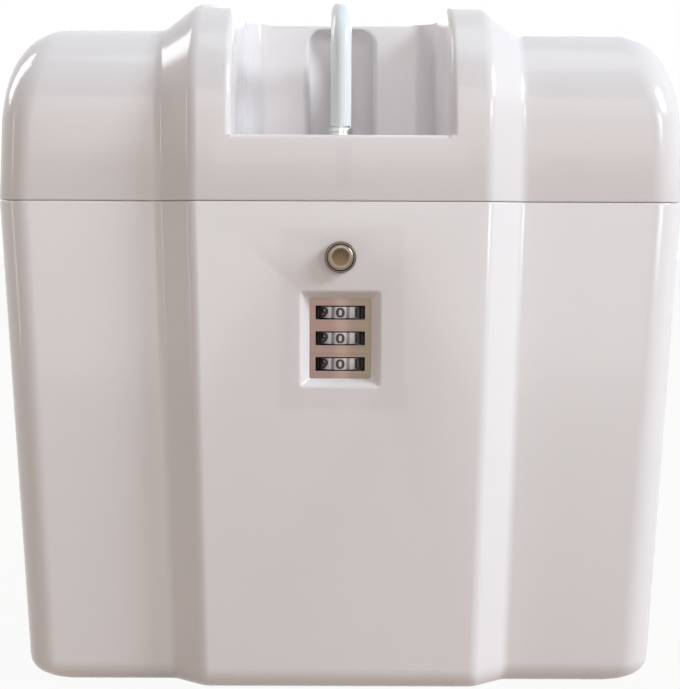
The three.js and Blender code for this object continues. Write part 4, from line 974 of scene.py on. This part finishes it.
def mix(tree, factor, first, second, blend_type="MIX"):
    """Mixes two colours, each given as a socket or as its red, green and blue."""
    node = tree.nodes.new("ShaderNodeMix")
    node.data_type = "RGBA"
    node.blend_type = blend_type
    tree.links.new(factor, node.inputs["Factor"])
    for socket, colour in ((node.inputs[6], first), (node.inputs[7], second)):
        if isinstance(colour, tuple):
            socket.default_value = (*colour, 1.0)
        else:
            tree.links.new(colour, socket)
    return node.outputs[2]


def shaded(tree, colour, mask, tint):
    """The colour, multiplied by a tint where the mask is 1."""
    return mix(tree, mask, colour, tint, "MULTIPLY")


def calculate(tree, operation, first, second):
    """A maths node on a socket and a second socket or number."""
    node = tree.nodes.new("ShaderNodeMath")
    node.operation = operation
    tree.links.new(first, node.inputs[0])
    if isinstance(second, float):
        node.inputs[1].default_value = second
    else:
        tree.links.new(second, node.inputs[1])
    return node.outputs[0]


def bump(tree, height, strength, distance, under=None):
    """The surface's direction with a relief, which can lie on another one."""
    node = tree.nodes.new("ShaderNodeBump")
    node.inputs["Strength"].default_value = strength
    node.inputs["Distance"].default_value = distance
    tree.links.new(height, node.inputs["Height"])
    if under is not None:
        tree.links.new(under, node.inputs["Normal"])
    return node.outputs["Normal"]


def position(tree):
    """The three coordinates of a place on the piece, in metres."""
    where = tree.nodes.new("ShaderNodeTexCoord")
    split = tree.nodes.new("ShaderNodeSeparateXYZ")
    tree.links.new(where.outputs["Object"], split.inputs["Vector"])
    return split.outputs


def box_mask(tree, low, high, soft):
    """1 inside a box given in millimetres and 0 outside it, with soft edges."""
    coordinates = position(tree)
    product = None
    for axis in range(3):
        for edge, away in ((low[axis], soft), (high[axis], -soft)):
            start, end = (edge - away) * MM, (edge + away) * MM
            ramp = spread(tree, coordinates[axis], 0.0, 1.0, start, end, "SMOOTHSTEP")
            product = ramp if product is None else calculate(tree, "MULTIPLY", product, ramp)
    return product


def axis_distance(tree, centre, flat):
    """The distance in metres from an axis, whose direction has a flat scale of 0."""
    where = tree.nodes.new("ShaderNodeTexCoord")
    moved = tree.nodes.new("ShaderNodeMapping")
    shift = [-value * MM * keep for value, keep in zip(centre, flat)]
    moved.inputs["Location"].default_value = shift
    moved.inputs["Scale"].default_value = flat
    tree.links.new(where.outputs["Object"], moved.inputs["Vector"])
    reach = tree.nodes.new("ShaderNodeVectorMath")
    reach.operation = "LENGTH"
    tree.links.new(moved.outputs["Vector"], reach.inputs[0])
    return reach.outputs["Value"]


def surface(name, texture, dark, light, roughness=None, relief=None):
    """A material whose texture varies its colour and, where given, its roughness and relief."""
    made, tree, inputs = new_material(name)
    pattern = noise(tree, *texture)
    tint = spread(tree, pattern, 0.0, 1.0)
    colour = mix(tree, tint, dark, light)
    tree.links.new(colour, inputs["Base Color"])
    if roughness:
        tree.links.new(spread(tree, pattern, *roughness), inputs["Roughness"])
    if relief:
        tree.links.new(bump(tree, pattern, *relief), inputs["Normal"])
    return made, tree, inputs, tint, colour


def metal(name, dark, light, roughness, texture=METAL_TEXTURE):
    made, tree, inputs, tint, colour = surface(name, texture, dark, light, roughness, METAL_RELIEF)
    inputs["Metallic"].default_value = 1.0
    return made, tree, inputs, tint, colour


def translucent(inputs, weight, colours, reach):
    inputs["Subsurface Weight"].default_value = weight
    inputs["Subsurface Radius"].default_value = colours
    inputs["Subsurface Scale"].default_value = reach * MM


def plastic_material():
    """Moulded plastic, with painted shade of faint sink marks over the lock's seat and over the
    striker's rib.
    """
    texture = (7.0, 2.0, 0.4, (1.6, 1.6, 0.7))
    made, tree, inputs, _, colour = surface(
        "moulded_white_plastic", texture, (0.872, 0.838, 0.838), (0.894, 0.863, 0.864)
    )
    front, rear = -90.0, -66.0
    seat_low = (-18.5, front, DIALS_Z - LOCK_PAD_BELOW_DIALS)
    seat = box_mask(tree, seat_low, (19.5, rear, DIALS_Z + 34.0), 1.6)
    rib = box_mask(tree, (-1.6, front, BODY_HEIGHT + 3.5), (3.2, rear, FLOOR_Z - 2.5), 1.4)
    # Painted shade: the seat and rib masks darken the colour where faint sink marks shade the face
    colour = shaded(tree, colour, seat, (0.968, 0.955, 0.950))
    colour = shaded(tree, colour, rib, (0.965, 0.965, 0.975))
    tree.links.new(colour, inputs["Base Color"])
    rub = noise(tree, 25.0, 2.0, 0.4)
    tree.links.new(spread(tree, rub, 0.14, 0.19), inputs["Roughness"])
    waves = bump(tree, noise(tree, 14.0, 1.0), 0.2, 0.8 * MM)
    grain = bump(tree, noise(tree, 1500.0, 2.0), 0.04, 0.04 * MM, waves)
    tree.links.new(grain, inputs["Normal"])
    inputs["IOR"].default_value = 1.49
    translucent(inputs, 0.12, (1.0, 0.85, 0.8), 1.5)
    return made


def vinyl_material():
    made, tree, inputs, _, _ = surface(
        "handle_vinyl", (45.0, 3.0), (0.87, 0.94, 0.98), (0.89, 0.955, 0.985), (0.18, 0.28)
    )
    tree.links.new(bump(tree, noise(tree, 900.0, 2.0), 0.08, 0.1 * MM), inputs["Normal"])
    translucent(inputs, 0.2, (1.0, 1.0, 1.0), 1.2)
    return made


def bronze_material():
    """Worn bronze, brown on the button's face, with painted shade in the gap round the button and
    over the bush.
    """
    made, tree, inputs, _, worn = metal(
        "bronze_nickel", (0.20, 0.165, 0.13), (0.28, 0.235, 0.19), (0.24, 0.36)
    )
    reach = axis_distance(tree, (0.0, 0.0, BUTTON_Z), (1.0, 0.0, 1.0))
    face = spread(tree, reach, 1.0, 0.0, 2.4 * MM, 3.2 * MM)
    # Painted shade: darker from the button's edge outwards, over the gap and the whole bush
    gap_and_bush_shade = spread(tree, reach, 0.0, 1.0, BUTTON_RADIUS * MM, BUSH_BORE * MM)
    browned = shaded(tree, worn, face, (0.42, 0.345, 0.265))
    tree.links.new(shaded(tree, browned, gap_and_bush_shade, (0.56, 0.50, 0.51)), inputs["Base Color"])
    return made


def plate_material():
    """Bronze with a brushed grain across it, rosier to the left and greener to the right, with a
    painted highlight down its middle.
    """
    made, tree, inputs, tint, rosy = metal(
        "bronze_plate",
        (0.22, 0.145, 0.128),
        (0.29, 0.20, 0.178),
        (0.34, 0.48),
        (900.0, 6.0, 0.65, (0.04, 1.0, 1.0)),
    )
    olive = mix(tree, tint, (0.185, 0.143, 0.105), (0.245, 0.197, 0.148))
    across = spread(tree, position(tree)["X"], 0.0, 1.0, -3.0 * MM, 9.5 * MM, "SMOOTHSTEP")
    # Painted highlight: a lighter upright strip down the plate's middle, between the wheels' ends
    middle_highlight = box_mask(tree, (-1.5, -90.0, 60.0), (2.2, -60.0, 160.0), 1.6)
    colour = shaded(tree, mix(tree, across, rosy, olive), middle_highlight, (1.22, 1.25, 1.22))
    tree.links.new(colour, inputs["Base Color"])
    return made


def wheel_material():
    """Grey metal, with painted shade in the grooves and over all that lies inside the faces."""
    made, tree, inputs, _, face = metal(
        "wheel_metal", (0.32, 0.288, 0.288), (0.42, 0.385, 0.385), (0.46, 0.60)
    )
    reach = axis_distance(tree, (0.0, SHAFT_Y, 0.0), (1.0, 1.0, 0.0))
    start, end = (DIAL_RADIUS - 0.42) * MM, (DIAL_RADIUS - 0.16) * MM
    # Painted shade: darker wherever the wheel lies inside its faces, in the grooves and on its flat
    # sides
    groove_shade = spread(tree, reach, 1.0, 0.0, start, end)
    tree.links.new(shaded(tree, face, groove_shade, (0.50, 0.48, 0.47)), inputs["Base Color"])
    return made


def black_plastic():
    made, tree, inputs, _, _ = surface(
        "lock_case_plastic", (120.0, 5.0), (0.010, 0.010, 0.011), (0.018, 0.018, 0.019), (0.45, 0.6)
    )
    tree.links.new(bump(tree, noise(tree, 1800.0, 2.0), 0.15, 0.1 * MM), inputs["Normal"])
    return made


looks = {
    "shell": plastic_material(),
    "vinyl": vinyl_material(),
    "steel": metal("bright_steel", (0.58, 0.58, 0.57), (0.72, 0.72, 0.70), (0.16, 0.32))[0],
    "spring_steel": metal("spring_steel", (0.40, 0.41, 0.42), (0.52, 0.53, 0.54), (0.25, 0.42))[0],
    "bronze": bronze_material(),
    "plate": plate_material(),
    "wheels": wheel_material(),
    "housing": black_plastic(),
}
dull_look = metal(
    "dull_steel",
    (0.30, 0.30, 0.295),
    (0.40, 0.40, 0.39),
    (0.26, 0.40),
    (700.0, 6.0, 0.65, (1.0, 1.0, 0.06)),
)[0]
ink_look = surface(
    "numeral_paint", (700.0, 3.0), (0.012, 0.009, 0.008), (0.030, 0.022, 0.018), (0.35, 0.6)
)[0]
DULL_STEEL = ("hinge_", "code_disc_", "dial_shaft")
SOLID_EDGE = 0.2
PLATE_EDGE = 0.12


def dress(piece, look):
    piece.data.materials.clear()
    piece.data.materials.append(look)


solids = list(nodes.values())
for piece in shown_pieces():
    if piece not in solids:
        dress(piece, looks[piece["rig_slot"]])
for numeral in numerals:
    dress(numeral, ink_look)

# The solids that stay on view get their slot's look and softened edges
record_slots = {row["node"]: row["material_slot"] for row in frame["record"]["subparts"]}
for name, node in nodes.items():
    if node.hide_render:
        continue
    dress(node, dull_look if name.startswith(DULL_STEEL) else looks[record_slots[name]])
    soften = node.modifiers.new("soft_edges", "BEVEL")
    soften.width = (PLATE_EDGE if name == "dial_window_plate" else SOLID_EDGE) * MM
    soften.segments = 2
    soften.limit_method = "ANGLE"
    soften.angle_limit = math.radians(40)


# The studio, in metres and degrees
BOX_MIDDLE = (0.0, 0.0, 0.12)
FLOOR_HALF = 6.0
FLOOR_DROP = 0.0002
FLOOR_WHITENESS = 0.94
CAMERA_PLACE = (-0.0012, -0.5687, 0.1469)
CAMERA_LENS = 83.79
CAMERA_PAN, CAMERA_TILT, CAMERA_ROLL = -0.132, -4.394, 0.228


def area_light(name, place_at, size, power, colour, aim_at=BOX_MIDDLE, size_y=None):
    lamp = bpy.data.lights.new(name, "AREA")
    lamp.energy = power
    lamp.color = colour
    lamp.shape = "RECTANGLE"
    lamp.size = size
    lamp.size_y = size_y or size
    made = new_object(name, lamp)
    made.location = place_at
    aim = Vector(aim_at) - Vector(place_at)
    made.rotation_euler = aim.to_track_quat("-Z", "Y").to_euler()


def seen_directly(tree):
    """1 for what the camera sees, straight or in a glossy or clear surface, and 0 otherwise."""
    rays = tree.nodes.new("ShaderNodeLightPath").outputs
    source = rays["Is Camera Ray"]
    for name in ("Is Glossy Ray", "Is Transmission Ray"):
        source = calculate(tree, "MAXIMUM", source, rays[name])
    return source


def mix_shaders(tree, factor, first, second, output):
    mixed = tree.nodes.new("ShaderNodeMixShader")
    tree.links.new(factor, mixed.inputs["Fac"])
    tree.links.new(first, mixed.inputs[1])
    tree.links.new(second, mixed.inputs[2])
    tree.links.new(mixed.outputs["Shader"], tree.nodes[output].inputs["Surface"])


def floor_material():
    """A floor that looks almost white, and sends little light back to the box."""
    made, tree, inputs = new_material("pale_floor")
    inputs["Roughness"].default_value = 0.9
    colour = mix(tree, noise(tree, 3.0, 3.0), (0.37, 0.28, 0.215), (0.41, 0.315, 0.245))
    tree.links.new(colour, inputs["Base Color"])
    glow = tree.nodes.new("ShaderNodeEmission")
    glow.inputs["Strength"].default_value = 1.0
    share = calculate(tree, "MULTIPLY", seen_directly(tree), FLOOR_WHITENESS)
    plain = tree.nodes["Principled BSDF"].outputs["BSDF"]
    mix_shaders(tree, share, plain, glow.outputs["Emission"], "Material Output")
    return made


half = FLOOR_HALF / MM
corners = [(-half, -half, 0), (half, -half, 0), (half, half, 0), (-half, half, 0)]
floor = new_object("floor", make_mesh("floor", corners, [[0, 1, 2, 3]]))
floor.location.z = -FLOOR_DROP
dress(floor, floor_material())

world = bpy.data.worlds.new("studio")
bpy.context.scene.world = world
world.use_nodes = True
sky = world.node_tree
soft_sky = sky.nodes["Background"]
white = sky.nodes.new("ShaderNodeBackground")
soft_sky.inputs["Color"].default_value = (1.0, 0.68, 0.50, 1.0)
soft_sky.inputs["Strength"].default_value = 0.05
white.inputs["Color"].default_value = (1.0, 1.0, 1.0, 1.0)
white.inputs["Strength"].default_value = 1.0
soft_light, white_light = soft_sky.outputs["Background"], white.outputs["Background"]
mix_shaders(sky, seen_directly(sky), soft_light, white_light, "World Output")

area_light("key", (3.70, -1.36, 2.42), 1.3, 146.0, (0.84, 0.92, 1.0))
area_light("front_right", (3.12, -3.12, 1.05), 1.05, 25.0, (0.93, 0.97, 1.0))
area_light("front", (0.10, -2.90, 0.87), 1.9, 19.8, (1.0, 0.96, 0.945))
area_light("top", (0.34, -0.40, 3.07), 1.6, 12.0, (0.80, 0.91, 1.0))
area_light(
    "left_strip", (-1.3, -0.42, 0.35), 0.014, 0.9, (1.0, 0.97, 0.95), (0.0, -0.05, 0.12), 0.6
)
area_light(
    "rear_left", (-0.9, 0.35, 0.80), 0.36, 4.8, (0.95, 0.97, 1.0), (-0.05, -0.05, 0.2), 0.62
)
area_light("rear_fill", (0.25, 1.5, 0.8), 0.8, 7.0, (1.0, 0.99, 0.98))

camera_data = bpy.data.cameras.new("camera")
camera_data.sensor_width = 36.0
camera_data.lens = CAMERA_LENS
camera = new_object("camera", camera_data)
camera.location = CAMERA_PLACE
camera.rotation_euler = (
    Matrix.Rotation(math.radians(CAMERA_PAN), 4, "Z")
    @ Matrix.Rotation(math.radians(90.0 + CAMERA_TILT), 4, "X")
    @ Matrix.Rotation(math.radians(CAMERA_ROLL), 4, "Z")
).to_euler()
bpy.context.scene.camera = camera
bpy.context.scene.view_settings.view_transform = "Standard"
